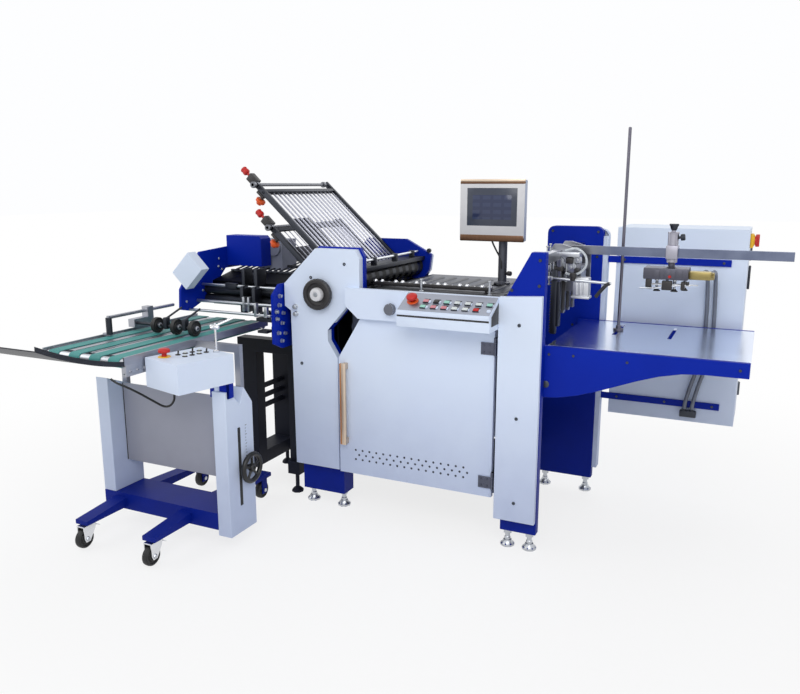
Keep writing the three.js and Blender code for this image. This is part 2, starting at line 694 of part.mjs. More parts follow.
// Feed head on its bridge, with the sheet stops in front of the pile
const head = {
  left: 470, right: 612, bottom: 1000, top: 1140, reach: 90, wall: 10,
  stopLeft: 532, stopRight: 544, stopBottom: 870, stopReach: 120, stopWidth: 26, stopCount: 4,
  shaftRadius: 14, shaftReach: 110, shaftZ: 1040, blockBottom: 956, blockRight: 603,
};
const suctionRail = { right: 1329, back: 0, thick: 10, bottom: 1098, top: 1131 };
function feedHead() {
  const pieces = [
    block([bridge.left, bridge.right], [-postInner + seat, postInner - seat], [bridge.bottom, bridge.top]),
  ];
  for (const side of [-1, 1]) {
    const ys = sideSpan(side, head.reach - head.wall, head.reach);
    pieces.push(plateAcrossY([
      [head.left, head.bottom], [head.right, head.bottom], [head.right, bridge.top],
      [bridge.right, head.top], [bridge.left, head.top], [head.left, bridge.bottom],
    ], ys));
  }
  for (const x of [head.right - 2 * head.shaftRadius, head.left + 2 * head.shaftRadius]) {
    pieces.push(rod('y', [x, head.shaftZ], [-head.shaftReach, head.shaftReach], head.shaftRadius, 12));
  }
  const stopSpace = (2 * head.stopReach) / (head.stopCount - 1);
  for (let index = 0; index < head.stopCount; index += 1) {
    const middle = -head.stopReach + index * stopSpace;
    pieces.push(block(
      [head.stopLeft, head.stopRight],
      [middle - head.stopWidth / 2, middle + head.stopWidth / 2],
      [head.stopBottom, bridge.bottom + over],
    ));
  }
  pieces.push(block(
    [head.stopLeft, head.blockRight],
    [-head.reach / 2, head.reach / 2],
    [head.blockBottom, head.shaftZ],
  ));
  pieces.push(block(
    [bridge.right - over, suctionRail.right],
    [suctionRail.back - suctionRail.thick, suctionRail.back],
    [suctionRail.bottom, suctionRail.top],
  ));
  return joined(pieces);
}
addPiece('feed_head', feedHead(), steel);

// Suction carriage, sliding on the rail, with the air cylinder above and the suction head below
const carriage = {
  x: 925, halfLength: 22, front: -30, back: 22, bottom: 1078, top: 1144, cylinder: 20, cylinderTop: 1190,
  cap: 14, capBase: 8, capTop: 1212, sideKnob: 12, sideKnobLength: 22,
};
const cup = {
  left: 832, right: 990, front: -46, back: 46, bottom: 1016, top: 1060, legs: 4, legRadius: 7,
  legBottom: 974, padRadius: 13, padHeight: 8, stem: 12,
};
function suctionCarriage() {
  const clamp = block(
    [carriage.x - carriage.halfLength, carriage.x + carriage.halfLength],
    [carriage.front, carriage.back],
    [carriage.bottom, carriage.top],
  );
  const groove = block(
    [carriage.x - carriage.halfLength - over, carriage.x + carriage.halfLength + over],
    [suctionRail.back - suctionRail.thick - seat, suctionRail.back + seat],
    [suctionRail.bottom - seat, suctionRail.top + seat],
  );
  const stack = turned('z', [carriage.x, 0], [
    [0, carriage.top - over / 2], [carriage.cylinder, carriage.top - over / 2],
    [carriage.cylinder, carriage.cylinderTop], [carriage.capBase, carriage.cylinderTop],
    [carriage.cap, carriage.capTop], [carriage.cap, carriage.capTop + carriage.capBase],
    [0, carriage.capTop + carriage.capBase],
  ], 20);
  const knob = rod('x', [0, carriage.cylinderTop - carriage.cylinder],
    [carriage.x + carriage.cylinder - over, carriage.x + carriage.cylinder + carriage.sideKnobLength],
    carriage.sideKnob, 12);
  return cut(joined([clamp, stack, knob]), [groove]);
}
addPiece('suction_carriage', suctionCarriage(), grey);

const hosePort = { x: 1045, halfWidth: 32, back: 56, z: 1030, half: 14 };
function suctionHead() {
  const pieces = [
    block([cup.left, cup.right], [cup.front, cup.back], [cup.bottom, cup.top]),
    rod('z', [carriage.x, 0], [cup.top - over, carriage.bottom - seat], cup.stem, 16),
  ];
  const step = (cup.right - cup.left - 4 * cup.padRadius) / (cup.legs - 1);
  for (let leg = 0; leg < cup.legs; leg += 1) {
    const x = cup.left + 2 * cup.padRadius + leg * step;
    const padTop = cup.legBottom + cup.padHeight;
    pieces.push(rod('z', [x, 0], [cup.legBottom, cup.bottom + over], cup.legRadius, 8));
    pieces.push(rod('z', [x, 0], [cup.legBottom, padTop], cup.padRadius, 12, cup.legRadius));
  }
  pieces.push(block(
    [cup.right - over, hosePort.x + hosePort.halfWidth],
    [0, hosePort.back],
    [hosePort.z - hosePort.half, hosePort.z + hosePort.half],
  ));
  return joined(pieces);
}
addPiece('suction_head', suctionHead(), steel);

// Two air hoses from the suction head down behind the pile to a coupling on the lower cabinet bar
const hose = { radius: 8, sides: 6, steps: 18, backY: 340, couplingX: 998, couplingTop: 428, space: 30 };
const coupling = { halfWidth: 34, front: 330, height: 30 };
const hoseRoute = [
  [hosePort.x, hosePort.back + seat, hosePort.z], [1046, 120, 1031], [1048, 220, 1027], [1050, 296, 1008],
  [1051, 332, 960], [1054, hose.backY, 890], [1056, hose.backY, 790], [1050, hose.backY, 690],
  [1028, hose.backY, 580], [1008, hose.backY, 500], [1000, hose.backY, 460],
  [hose.couplingX, hose.backY, hose.couplingTop],
];
function hosePoints(offset) {
  return hoseRoute.map(([x, y, z]) => [x + offset, y, z]);
}
function hosePair() {
  const tubes = [-0.5, 0.5].map((offset) =>
    bentBar(hosePoints(offset * hose.space), hose.radius, hose.sides, hose.steps));
  const joint = block(
    [hose.couplingX - coupling.halfWidth, hose.couplingX + coupling.halfWidth],
    [coupling.front, postOuter - cabinetBar.thick - seat],
    [hose.couplingTop - coupling.height, hose.couplingTop + over],
  );
  return joined([...tubes, joint]);
}
addPiece('hose_pair', hosePair(), grey);

// Pile table between its two blue arms, with the pile rod in one of its slots
const pile = { left: 549, right: 1225, level: 790, thick: 8, slotWidth: 14, slotStart: 0, slotEnd: 240 };
const slotShares = [0.269, 0.571]; // where the slots lie along the table
const slotPlaces = slotShares.map((share) => pile.left + share * (pile.right - pile.left));
const arm = { left: 524, right: 1224, thick: 22, tipHeight: 52, rootBottom: 596 };
const armOuter = postInner - seat;
const armInner = armOuter - arm.thick;
const tableSide = armInner - seat;
const rod1 = { radius: 6, top: 1574, y: 100, flange: 20, flangeHeight: 10 };
const pileRodX = slotPlaces[0];

function pileTable() {
  const zs = [pile.level - pile.thick, pile.level];
  const plate = block([pile.left, pile.right], [-tableSide, tableSide], zs);
  const lip = block(
    [pile.right - pile.thick, pile.right],
    [-tableSide, tableSide],
    [pile.level - arm.tipHeight, pile.level - pile.thick / 2],
  );
  const slots = slotPlaces.map((x) => block(
    [x - pile.slotWidth / 2, x + pile.slotWidth / 2],
    [pile.slotStart, pile.slotEnd],
    [pile.level - pile.thick - over, pile.level + over],
  ));
  return cut(joined([plate, lip]), slots);
}
addPiece('pile_table', pileTable(), steel);

function pileArm(side) {
  const sweep = 10;
  const bottomStart = pile.level - arm.tipHeight;
  const run = arm.right - arm.left;
  const points = [[arm.left, pile.level], [arm.left, arm.rootBottom]];
  for (let step = 1; step <= sweep; step += 1) {
    const share = step / sweep;
    const rise = (1 - Math.cos(Math.PI * Math.min(1, share * 1.25))) / 2;
    points.push([arm.left + run * share, arm.rootBottom + (bottomStart - arm.rootBottom) * rise]);
  }
  points.push([arm.right, pile.level]);
  return plateAcrossY(points, sideSpan(side, armInner, armOuter));
}
addPiece('pile_arm_front', pileArm(-1), blue);
addPiece('pile_arm_rear', pileArm(1), blue);

addPiece('pile_rod', joined([
  rod('z', [pileRodX, rod1.y], [pile.level + seat, pile.level + rod1.flangeHeight], rod1.flange, 16),
  rod('z', [pileRodX, rod1.y], [pile.level - pile.thick, rod1.top], rod1.radius, 12),
]), steel);

// Electrical cabinet behind the feeder, on the two bars of the rear post
const cabinet = { left: 665, right: 1177, bottom: 373, top: 1185, depth: 280, wall: 4, doorThick: 18 };
const cabinetFront = postOuter + seat;
const cabinetBack = cabinetFront + cabinet.depth;
const cabinetHinge = { x: cabinet.right, y: cabinetBack + seat + cabinet.doorThick / 2 };
addPiece('cabinet_shell', cut(
  block([cabinet.left, cabinet.right], [cabinetFront, cabinetBack], [cabinet.bottom, cabinet.top]),
  [block(
    [cabinet.left + cabinet.wall, cabinet.right - cabinet.wall],
    [cabinetFront + cabinet.wall, cabinetBack + over],
    [cabinet.bottom + cabinet.wall, cabinet.top - cabinet.wall],
  )],
), white);

const cabinetPin = { radius: 8, height: 60, low: 440, high: 1040 };
function cabinetDoor() {
  const ys = [cabinetBack + seat, cabinetBack + seat + cabinet.doorThick];
  const xs = [cabinet.left, cabinet.right - cabinetPin.radius];
  const pieces = [block(xs, ys, [cabinet.bottom, cabinet.top])];
  for (const z of [cabinetPin.low, cabinetPin.high]) {
    const span = [z, z + cabinetPin.height];
    pieces.push(rod('z', [cabinetHinge.x, cabinetHinge.y], span, cabinetPin.radius, 12));
    pieces.push(block(
      [cabinet.right - 2 * cabinetPin.radius, cabinetHinge.x],
      [cabinetHinge.y - cabinetPin.radius / 2, cabinetHinge.y + cabinetPin.radius / 2],
      span,
    ));
  }
  return joined(pieces);
}
addPiece('cabinet_door', cabinetDoor(), white);

const mainSwitch = {
  y: 430, z: 1140, plateRadius: 26, plate: 6, knob: 14, knobDepth: 16, bar: 8, barDepth: 12,
};
function powerSwitch() {
  const face = cabinet.right + seat;
  const knobEnd = face + mainSwitch.plate + mainSwitch.knobDepth;
  return joined([
    rod('x', [mainSwitch.y, mainSwitch.z], [face, face + mainSwitch.plate], mainSwitch.plateRadius, 20),
    rod('x', [mainSwitch.y, mainSwitch.z], [face + mainSwitch.plate / 2, knobEnd], mainSwitch.knob, 16),
    block(
      [knobEnd - over, knobEnd + mainSwitch.barDepth],
      [mainSwitch.y - mainSwitch.bar / 2, mainSwitch.y + mainSwitch.bar / 2],
      [mainSwitch.z - mainSwitch.plateRadius, mainSwitch.z + mainSwitch.plateRadius],
    ),
  ]);
}
addPiece('power_switch', powerSwitch(), red);

// Cross fold unit: two blue plates with a pair of rollers between them, on its own stand
const cross = { left: -1003, plateThick: 12, rollerY: -300, rollerRadius: 21, nipDrop: 68.5 };
cross.right = foldFront.left - frameRim - seat;
// The cross rollers take the sheet a little lower than the first pair
cross.nipZ = nipPoint.z - cross.nipDrop;
const crossSide = { left: -477, drop: 62.5, width: 607, height: 260 };
crossSide.bottom = cross.nipZ - crossSide.drop;
const crossLeftShares = [
  [0.011, 0.38], [0, 0.046], [0.092, 0], [0.3, 0.17], [0.52, 0.62], [1, 0.62], [1, 0.96], [0.62, 1],
  [0.232, 0.95],
];
const crossRightFrame = { left: -420, drop: 199.5, width: 500, height: 270 };
crossRightFrame.bottom = cross.nipZ - crossRightFrame.drop;
const crossRightShares = [[0, 0.1], [0.12, 0], [1, 0], [1, 1], [0.1, 1], [0, 0.85]];
const crossRollerStep = cross.rollerRadius + roller.nip / 2;
const crossJournal = 9;
const crossPlaces = [cross.nipZ + crossRollerStep, cross.nipZ - crossRollerStep];

function crossPlate(frame, shares, xs) {
  const bores = crossPlaces.map((z) => rod('x', [cross.rollerY, z], [xs[0] - over, xs[1] + over],
    boreRadius(crossJournal, seat)));
  return cut(plateAcrossX(outline(frame, shares), xs), bores);
}
const crossLeftXs = [cross.left, cross.left + cross.plateThick];
const crossRightXs = [cross.right - cross.plateThick, cross.right];
addPiece('cross_plate_left', crossPlate(crossSide, crossLeftShares, crossLeftXs), blue);
addPiece('cross_plate_right', crossPlate(crossRightFrame, crossRightShares, crossRightXs), blue);

crossPlaces.forEach((z, index) => {
  const start = crossLeftXs[1] + gap;
  const end = crossRightXs[0] - gap;
  addPiece(`cross_roller_${index + 1}`, turned('x', [cross.rollerY, z], [
    [0, crossLeftXs[0]], [crossJournal, crossLeftXs[0]], [crossJournal, start], [cross.rollerRadius, start],
    [cross.rollerRadius, end], [crossJournal, end], [crossJournal, crossRightXs[1]], [0, crossRightXs[1]],
  ], 16), steel);
});

const hood = { right: -801, front: -150, back: -75, rise: 110.5, height: 136, chamfer: 12 };
hood.bottom = cross.nipZ + hood.rise;
hood.top = hood.bottom + hood.height;
addPiece('cross_hood', plateAcrossY([
  [crossLeftXs[1] + seat, hood.bottom], [hood.right, hood.bottom], [hood.right, hood.top - hood.chamfer],
  [hood.right - hood.chamfer, hood.top], [crossLeftXs[1] + seat, hood.top],
], [hood.front, hood.back]), blue);

// The gearbox bolts to the back of the hood with its round boss
const gearbox = { left: -879, right: -751, front: -60, back: 60, drop: 25, height: 140, boss: 34 };
gearbox.bottom = hood.bottom - gearbox.drop;
gearbox.top = gearbox.bottom + gearbox.height;
gearbox.bossX = gearbox.right - gearbox.boss - over;
gearbox.bossZ = gearbox.top - gearbox.boss - over;
addPiece('cross_gearbox', joined([
  block([gearbox.left, gearbox.right], [gearbox.front, gearbox.back], [gearbox.bottom, gearbox.top]),
  rod('y', [gearbox.bossX, gearbox.bossZ], [hood.back + seat, gearbox.front + over], gearbox.boss, 18),
]), grey);

// A slanted box for the wiring hangs in front of the left plate, on a tab that lies against the plate
const crossBox = {
  x: -943, rise: 117.5, length: 124, width: 98, turn: 45, front: -484, back: -434, tab: 4,
};
crossBox.z = cross.nipZ + crossBox.rise;
function slantedBox() {
  const shell = block(
    [-crossBox.length / 2, crossBox.length / 2],
    [crossBox.front, crossBox.back],
    [-crossBox.width / 2, crossBox.width / 2],
  );
  shell.rotateY(-THREE.MathUtils.degToRad(crossBox.turn)).translate(crossBox.x, 0, crossBox.z);
  const tabLeft = crossLeftXs[1] + seat;
  const tab = block(
    [tabLeft, tabLeft + crossBox.tab],
    [crossBox.back - over, crossBox.back + crossBox.width],
    [crossBox.z - crossBox.width / 4, crossBox.z + crossBox.width / 8],
  );
  return joined([shell, tab]);
}
addPiece('cross_box', slantedBox(), white);

// Stand of the cross fold unit: legs under both plates, tie tubes and a base with two rear feet
const stand = {
  legWidth: 60, legFront: -240, legBack: -180, tube: 13, baseTop: 150, baseBottom: 90,
  baseFront: -262, baseBack: 90, leftX: -836, leftWidth: 100,
};
const tieShares = [0.425, 0.504, 0.584]; // heights of the tie tubes between the left legs
function crossStand() {
  const legTop = crossRightFrame.bottom - seat;
  const rightXs = [cross.right - stand.legWidth, cross.right];
  const leftXs = [stand.leftX - stand.leftWidth / 2, stand.leftX + stand.leftWidth / 2];
  const legYs = [stand.legFront, stand.legBack];
  const backYs = [stand.baseBack - stand.legWidth, stand.baseBack];
  const pieces = [
    block(rightXs, legYs, [stand.baseBottom, legTop]),
    block(leftXs, legYs, [stand.baseBottom, legTop]),
    block(leftXs, backYs, [stand.baseBottom, legTop]),
    block([leftXs[0], rightXs[1]], legYs, [legTop - stand.legWidth, legTop]),
    block([leftXs[0], rightXs[1]], backYs, [stand.baseBottom, stand.baseTop]),
    block(rightXs, [stand.baseFront, stand.baseBack], [stand.baseBottom, stand.baseTop]),
    block(leftXs, [stand.baseFront, stand.baseBack], [stand.baseBottom, stand.baseTop]),
  ];
  for (const share of tieShares) {
    const z = stand.baseBottom + share * (legTop - stand.baseBottom);
    pieces.push(rod('y', [stand.leftX, z], [stand.legBack - over, backYs[0] + over], stand.tube, 8));
  }
  for (const [start, end] of [leftXs, rightXs]) {
    for (const y of [stand.baseBack - stand.legWidth / 2, stand.baseFront + stand.legWidth / 2]) {
      pieces.push(levellingFoot([(start + end) / 2, y], stand.baseBottom + over));
    }
  }
  return joined(pieces);
}
addPiece('cross_stand', crossStand(), dark);

// Delivery trolley: H-shaped base on casters, two lift columns and a panel between them
const trolley = {
  left: -1108, right: -480, columnWide: 60, front: -857, back: -697, columnTop: 626, columnBottom: 62,
  beamBottom: 84, beamTop: 150, armTop: 140, armTip: 112, armFront: -1060, armBack: -330, armWide: 60,
  armLeft: -1025, armRight: -694,
};
const caster = { wheel: 38, wheelWide: 26, axle: 7, forkWall: 5, forkTop: 90, trail: 26, plate: 34, stem: 9 };
const wheelZ = caster.wheel;
const armPlaces = [trolley.armLeft, trolley.armRight];

function forkShape(centre, trail, top) {
  const halfWheel = caster.wheelWide / 2 + gap;
  const half = caster.plate / 2;
  const ys = [centre[1] + Math.min(trail, 0) - half, centre[1] + Math.max(trail, 0) + half];
  const pieces = [rod('z', centre, [caster.forkTop - caster.forkWall, top], caster.stem, 12)];
  for (const side of [-1, 1]) {
    const inner = centre[0] + side * halfWheel;
    const outer = inner + side * caster.forkWall;
    pieces.push(block([Math.min(inner, outer), Math.max(inner, outer)],
      ys, [wheelZ - caster.axle * 2, caster.forkTop]));
  }
  pieces.push(block(
    [centre[0] - halfWheel - caster.forkWall, centre[0] + halfWheel + caster.forkWall],
    ys,
    [caster.forkTop - caster.forkWall, caster.forkTop],
  ));
  const hole = rod('x', [centre[1] + trail, wheelZ],
    [centre[0] - halfWheel - over * 2, centre[0] + halfWheel + over * 2], boreRadius(caster.axle, seat));
  return cut(joined(pieces), [hole]);
}

function casterWheel(centre, trail) {
  const half = caster.wheelWide / 2;
  const end = half + gap + caster.forkWall;
  return turned('x', [centre[1] + trail, wheelZ], [
    [0, centre[0] - end], [caster.axle, centre[0] - end], [caster.axle, centre[0] - half],
    [caster.wheel - caster.axle, centre[0] - half], [caster.wheel, centre[0] - half + caster.axle],
    [caster.wheel, centre[0] + half - caster.axle], [caster.wheel - caster.axle, centre[0] + half],
    [caster.axle, centre[0] + half], [caster.axle, centre[0] + end], [0, centre[0] + end],
  ], 12);
}

function trolleyBase() {
  const middleY = (trolley.front + trolley.back) / 2;
  const beamRight = trolley.right - trolley.columnWide - seat;
  const beamYs = [trolley.front, trolley.back];
  const pieces = [block([trolley.left, beamRight], beamYs, [trolley.beamBottom, trolley.beamTop])];
  for (const x of armPlaces) {
    const front = plateAcrossX([
      [trolley.armBack, caster.forkTop + over], [trolley.armFront, caster.forkTop + over],
      [trolley.armFront, trolley.armTip], [middleY, trolley.armTop], [trolley.armBack, trolley.armTip],
    ], [x - trolley.armWide / 2, x + trolley.armWide / 2]);
    pieces.push(front);
    pieces.push(forkShape([x, trolley.armBack - caster.plate], 0, trolley.armTip - over));
  }
  const sockets = armPlaces.map((x) => rod('z', [x, trolley.armFront + caster.plate],
    [caster.forkTop, trolley.armTip - over], boreRadius(caster.stem, seat)));
  return cut(joined(pieces), sockets);
}
addPiece('trolley_base', trolleyBase(), blue);

armPlaces.forEach((x, index) => {
  const centre = [x, trolley.armFront + caster.plate];
  const name = index === 0 ? 'left' : 'right';
  addPiece(`caster_fork_${name}`, forkShape(centre, -caster.trail, trolley.armTip - over - seat), chrome);
  addPiece(`caster_wheel_${index + 1}`, casterWheel(centre, -caster.trail), rubber);
  addPiece(`caster_wheel_${index + 3}`, casterWheel([x, trolley.armBack - caster.plate], 0), rubber);
});

const mast = { width: 24, depth: 20, y: -728, bottom: 470, clearance: 0.5 };
const columnNotch = { lowY: -772, lowZ: 562, peakY: -743, peakZ: 621, endZ: 557, flatY: -830 };
const mastRightX = trolley.right - trolley.columnWide / 2;
const mastLeftX = trolley.left + trolley.columnWide / 2;
const liftSlot = { y: -784, width: 16, bottom: 167, top: 475, depth: 8 };
const liftWheel = {
  y: -743, z: 309, radius: 62, rim: 10, spokes: 5, hub: 16, depth: 14, shaft: 9, standoff: 22,
};

const leftColumnFace = [
  [trolley.front, trolley.beamTop + seat], [trolley.back, trolley.beamTop + seat],
  [trolley.back, columnNotch.endZ], [trolley.front, columnNotch.peakZ],
];
const rightColumnFace = [
  [trolley.front, trolley.columnBottom], [trolley.back, trolley.columnBottom],
  [trolley.back, columnNotch.endZ], [columnNotch.peakY, columnNotch.peakZ],
  [columnNotch.lowY, columnNotch.lowZ], [columnNotch.flatY, trolley.columnTop],
  [trolley.front, trolley.columnTop],
];
function column(left, face, mastX, slots) {
  const half = mast.width / 2 + mast.clearance;
  const deep = mast.depth / 2 + mast.clearance;
  const mastBore = block(
    [mastX - half, mastX + half],
    [mast.y - deep, mast.y + deep],
    [mast.bottom - 2 * liftWheel.radius - over, trolley.columnTop + over],
  );
  return cut(plateAcrossX(face, [left, left + trolley.columnWide]), [mastBore, ...slots]);
}
const scaleSlot = block(
  [trolley.right - liftSlot.depth, trolley.right + over],
  [liftSlot.y - liftSlot.width / 2, liftSlot.y + liftSlot.width / 2],
  [liftSlot.bottom, liftSlot.top],
);
const rightColumnLeft = trolley.right - trolley.columnWide;
addPiece('column_left', column(trolley.left, leftColumnFace, mastLeftX, []), white);
addPiece('column_right', column(rightColumnLeft, rightColumnFace, mastRightX, [scaleSlot]), white);

const modesty = { y: (trolley.front + trolley.back) / 2, thick: 6, bottom: 262, top: 585 };
addPiece('modesty_panel', block(
  [trolley.left + trolley.columnWide + seat, trolley.right - trolley.columnWide - seat],
  [modesty.y - modesty.thick / 2, modesty.y + modesty.thick / 2],
  [modesty.bottom, modesty.top],
), grey);

// Handwheel that raises the conveyor
function liftHandwheel() {
  const faceX = trolley.right + seat;
  const rimX = faceX + liftWheel.standoff;
  const ring = new THREE.TorusGeometry(liftWheel.radius - liftWheel.rim, liftWheel.rim, 6, 16)
    .rotateY(Math.PI / 2)
    .translate(rimX, liftWheel.y, liftWheel.z);
  const middle = [liftWheel.y, liftWheel.z];
  const hubSpan = [rimX - liftWheel.depth / 2, rimX + liftWheel.depth / 2];
  const pieces = [
    ring,
    rod('x', middle, [faceX, rimX + liftWheel.rim], liftWheel.shaft, 12),
    rod('x', middle, hubSpan, liftWheel.hub, 12),
  ];
  for (let spoke = 0; spoke < liftWheel.spokes; spoke += 1) {
    const angle = (2 * Math.PI * spoke) / liftWheel.spokes;
    const bar = rod('z', [0, 0], [0, liftWheel.radius - liftWheel.rim], liftWheel.rim / 2, 6);
    pieces.push(bar.rotateX(angle).translate(rimX, liftWheel.y, liftWheel.z));
  }
  return joined(pieces);
}
addPiece('lift_handwheel', liftHandwheel(), dark);

// Delivery conveyor: side plates, slider bed, lift masts and the gantry that carries the press wheels
const conveyor = {
  left: -1090, right: -700, plate: 6, front: -1105, back: -262, drop: 109.5, depth: 28, rim: 6,
  roller: 15, belt: 3, beltWide: 50, bedThick: 8,
};
conveyor.level = cross.nipZ - conveyor.drop; // sheets fall from the cross rollers onto the belts
conveyor.top = conveyor.level + conveyor.rim;
conveyor.bottom = conveyor.top - conveyor.depth;
const beltShares = [0.128, 0.39, 0.641, 0.867]; // where the belts lie across the conveyor
const beltPlaces = beltShares.map((share) => conveyor.left + share * (conveyor.right - conveyor.left));
const gantry = {
  radius: 7, x: -1060, front: -814, clampY: -601, back: -445, rise: 73, wheelY: -680, wheelRise: 32,
  clamp: 16,
};
gantry.level = conveyor.level + gantry.rise;
gantry.wheelLevel = conveyor.level + gantry.wheelRise;
const pressWheel = { radius: 31, wide: 18, axle: 6 };
const drumTop = conveyor.level - conveyor.belt;
const drumZ = drumTop - conveyor.roller;
const drumFront = conveyor.front + conveyor.roller + conveyor.belt;
const drumBack = conveyor.back - conveyor.roller - conveyor.belt;

function conveyorBed() {
  const ys = [conveyor.front, conveyor.back];
  const zs = [conveyor.bottom, conveyor.top];
  const bedYs = [drumFront + conveyor.roller * 2, drumBack - conveyor.roller * 2];
  const bedTop = drumTop - seat;
  const pieces = [
    block([conveyor.left, conveyor.left + conveyor.plate], ys, zs),
    block([conveyor.right - conveyor.plate, conveyor.right], ys, zs),
    block([conveyor.left, conveyor.right], bedYs, [bedTop - conveyor.bedThick, bedTop]),
  ];
  const mastYs = [mast.y - mast.depth / 2, mast.y + mast.depth / 2];
  for (const [x, plateX] of [[mastLeftX, conveyor.left], [mastRightX, conveyor.right - conveyor.plate]]) {
    const xs = [x - mast.width / 2, x + mast.width / 2];
    pieces.push(block(xs, mastYs, [mast.bottom, conveyor.bottom + mast.depth]));
    pieces.push(block([Math.min(x, plateX), Math.max(x, plateX)], mastYs,
      [conveyor.bottom - mast.depth / 2, conveyor.bottom + mast.depth]));
  }
  // An L-shaped rod stands on the left side plate; its clamp holds the arm with the press wheels
  const post = [gantry.x, gantry.front];
  const footBottom = conveyor.level + 2 * gap;
  const clampXs = [gantry.x - gantry.clamp, gantry.x + gantry.clamp];
  const armZs = [gantry.wheelLevel - gantry.clamp, gantry.wheelLevel + gantry.clamp];
  pieces.push(rod('z', post, [footBottom, gantry.level + gantry.radius], gantry.radius, 8));
  pieces.push(block([conveyor.left, gantry.x + gantry.radius],
    [gantry.front - gantry.radius, gantry.front + gantry.radius], [footBottom, conveyor.top + over]));
  pieces.push(rod('y', [gantry.x, gantry.level], [gantry.front, gantry.back], gantry.radius, 8));
  pieces.push(block(clampXs, [gantry.clampY - gantry.clamp, gantry.clampY + gantry.clamp],
    [armZs[0], gantry.level + gantry.clamp]));
  pieces.push(block(clampXs, [gantry.wheelY - gantry.clamp, gantry.clampY], armZs));
  const bore = rod('x', [gantry.wheelY, gantry.wheelLevel], [gantry.x, gantry.x + gantry.clamp + over],
    boreRadius(pressWheel.axle, seat));
  return cut(joined(pieces), [bore]);
}
addPiece('conveyor_bed', conveyorBed(), grey);

function beltSet() {
  const span = [conveyor.left + conveyor.plate + seat, conveyor.right - conveyor.plate - seat];
  const pieces = [
    rod('x', [drumFront, drumZ], span, conveyor.roller + conveyor.belt / 2, 12),
    rod('x', [drumBack, drumZ], span, conveyor.roller + conveyor.belt / 2, 12),
  ];
  // A belt's loop seen from the side: round the near drum, along, and round the far drum
  const loop = (radius) => {
    const steps = 6;
    const points = [];
    for (const [drumY, start] of [[drumFront, Math.PI / 2], [drumBack, -Math.PI / 2]]) {
      for (let step = 0; step <= steps; step += 1) {
        const angle = start + (Math.PI * step) / steps;
        points.push([drumY + radius * Math.cos(angle), drumZ + radius * Math.sin(angle)]);
      }
    }
    return points;
  };
  const run = loop(conveyor.roller + conveyor.belt);
  const hole = loop(conveyor.roller);
  for (const x of beltPlaces) {
    const xs = [x - conveyor.beltWide / 2, x + conveyor.beltWide / 2];
    pieces.push(cut(plateAcrossX(run, xs), [plateAcrossX(hole, [xs[0] - over, xs[1] + over])]));
  }
  return joined(pieces);
}
addPiece('belt_set', beltSet(), green);

const pressPlaces = beltPlaces.slice(1);
const pressAxis = [gantry.wheelY, gantry.wheelLevel];
const axleSpan = [gantry.x + gantry.clamp - over, pressPlaces[pressPlaces.length - 1] + pressWheel.wide];
addPiece('press_wheels', joined([
  rod('x', pressAxis, axleSpan, pressWheel.axle, 12),
  ...pressPlaces.map((x) => {
    const span = [x - pressWheel.wide / 2, x + pressWheel.wide / 2];
    return rod('x', pressAxis, span, pressWheel.radius, 16);
  }),
]), rubber);

// Catch tray that curves up beyond the conveyor's near end
const tray = { run: 345, rise: 118, straight: 0.55, thick: 4, steps: 8, lip: 14, drop: 8 };
function catchTray() {
  const top = [];
  const under = [];
  const side = [];
  for (let step = 0; step <= tray.steps; step += 1) {
    const share = step / tray.steps;
    const y = conveyor.front - seat - tray.run * share;
    const bend = tray.straight * share + (1 - tray.straight) * share * share;
    const z = conveyor.level - tray.drop - tray.lip + tray.rise * bend;
    top.push([y, z]);
    under.unshift([y, z - tray.thick]);
    side.push([y, z + tray.lip]);
  }
  const xs = [conveyor.left, conveyor.right];
  const plate = plateAcrossX([...top, ...under], xs);
  const lips = [[xs[0], xs[0] + tray.thick], [xs[1] - tray.thick, xs[1]]].map((span) =>
    plateAcrossX([...side, ...under], span));
  return joined([plate, ...lips]);
}
addPiece('catch_tray', catchTray(), dark);

// Delivery control box on its stem
const controlBox = { x: -572, y: -926, length: 234, width: 193, height: 106, top: 770, yaw: -15, stem: 13 };
const controlStem = { x: trolley.right - 44, y: trolley.front + 17 };
function deliveryBox() {
  const shell = block(
    [-controlBox.width / 2, controlBox.width / 2],
    [-controlBox.length / 2, controlBox.length / 2],
    [controlBox.top - controlBox.height, controlBox.top],
  );
  shell.rotateZ(THREE.MathUtils.degToRad(controlBox.yaw)).translate(controlBox.x, controlBox.y, 0);
  const stem = rod('z', [controlStem.x, controlStem.y],
    [trolley.columnTop + seat, controlBox.top - controlBox.height + over], controlBox.stem, 12);
  return cut(joined([shell, stem]), [onControlBox(stopBore())]);
}

const deliveryStopPlace = { along: -70, across: -48 };
function onControlBox(shape) {
  shape.translate(deliveryStopPlace.across, deliveryStopPlace.along, controlBox.top);
  return shape.rotateZ(THREE.MathUtils.degToRad(controlBox.yaw)).translate(controlBox.x, controlBox.y, 0);
}
addPiece('delivery_box', deliveryBox(), white);
addPiece('delivery_stop', onControlBox(stopButton()), red);

// The origin is the middle of the machine's footprint, on the floor
const extent = new THREE.Box3().setFromObject(machine);
machine.position.set(-(extent.min.x + extent.max.x) / 2, -(extent.min.y + extent.max.y) / 2, 0);

export default machine;
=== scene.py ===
# An industrial paper folding machine, dressed piece by piece in the order it is put together.
# Places are millimetres in the machine's own frame: X towards the feeder, Y away from the operator,
# Z up from the floor. The function at() turns them into the row frame's metres.
import json
from math import cos, pi, radians, sin

import bmesh
import bpy
from mathutils import Euler, Matrix, Vector

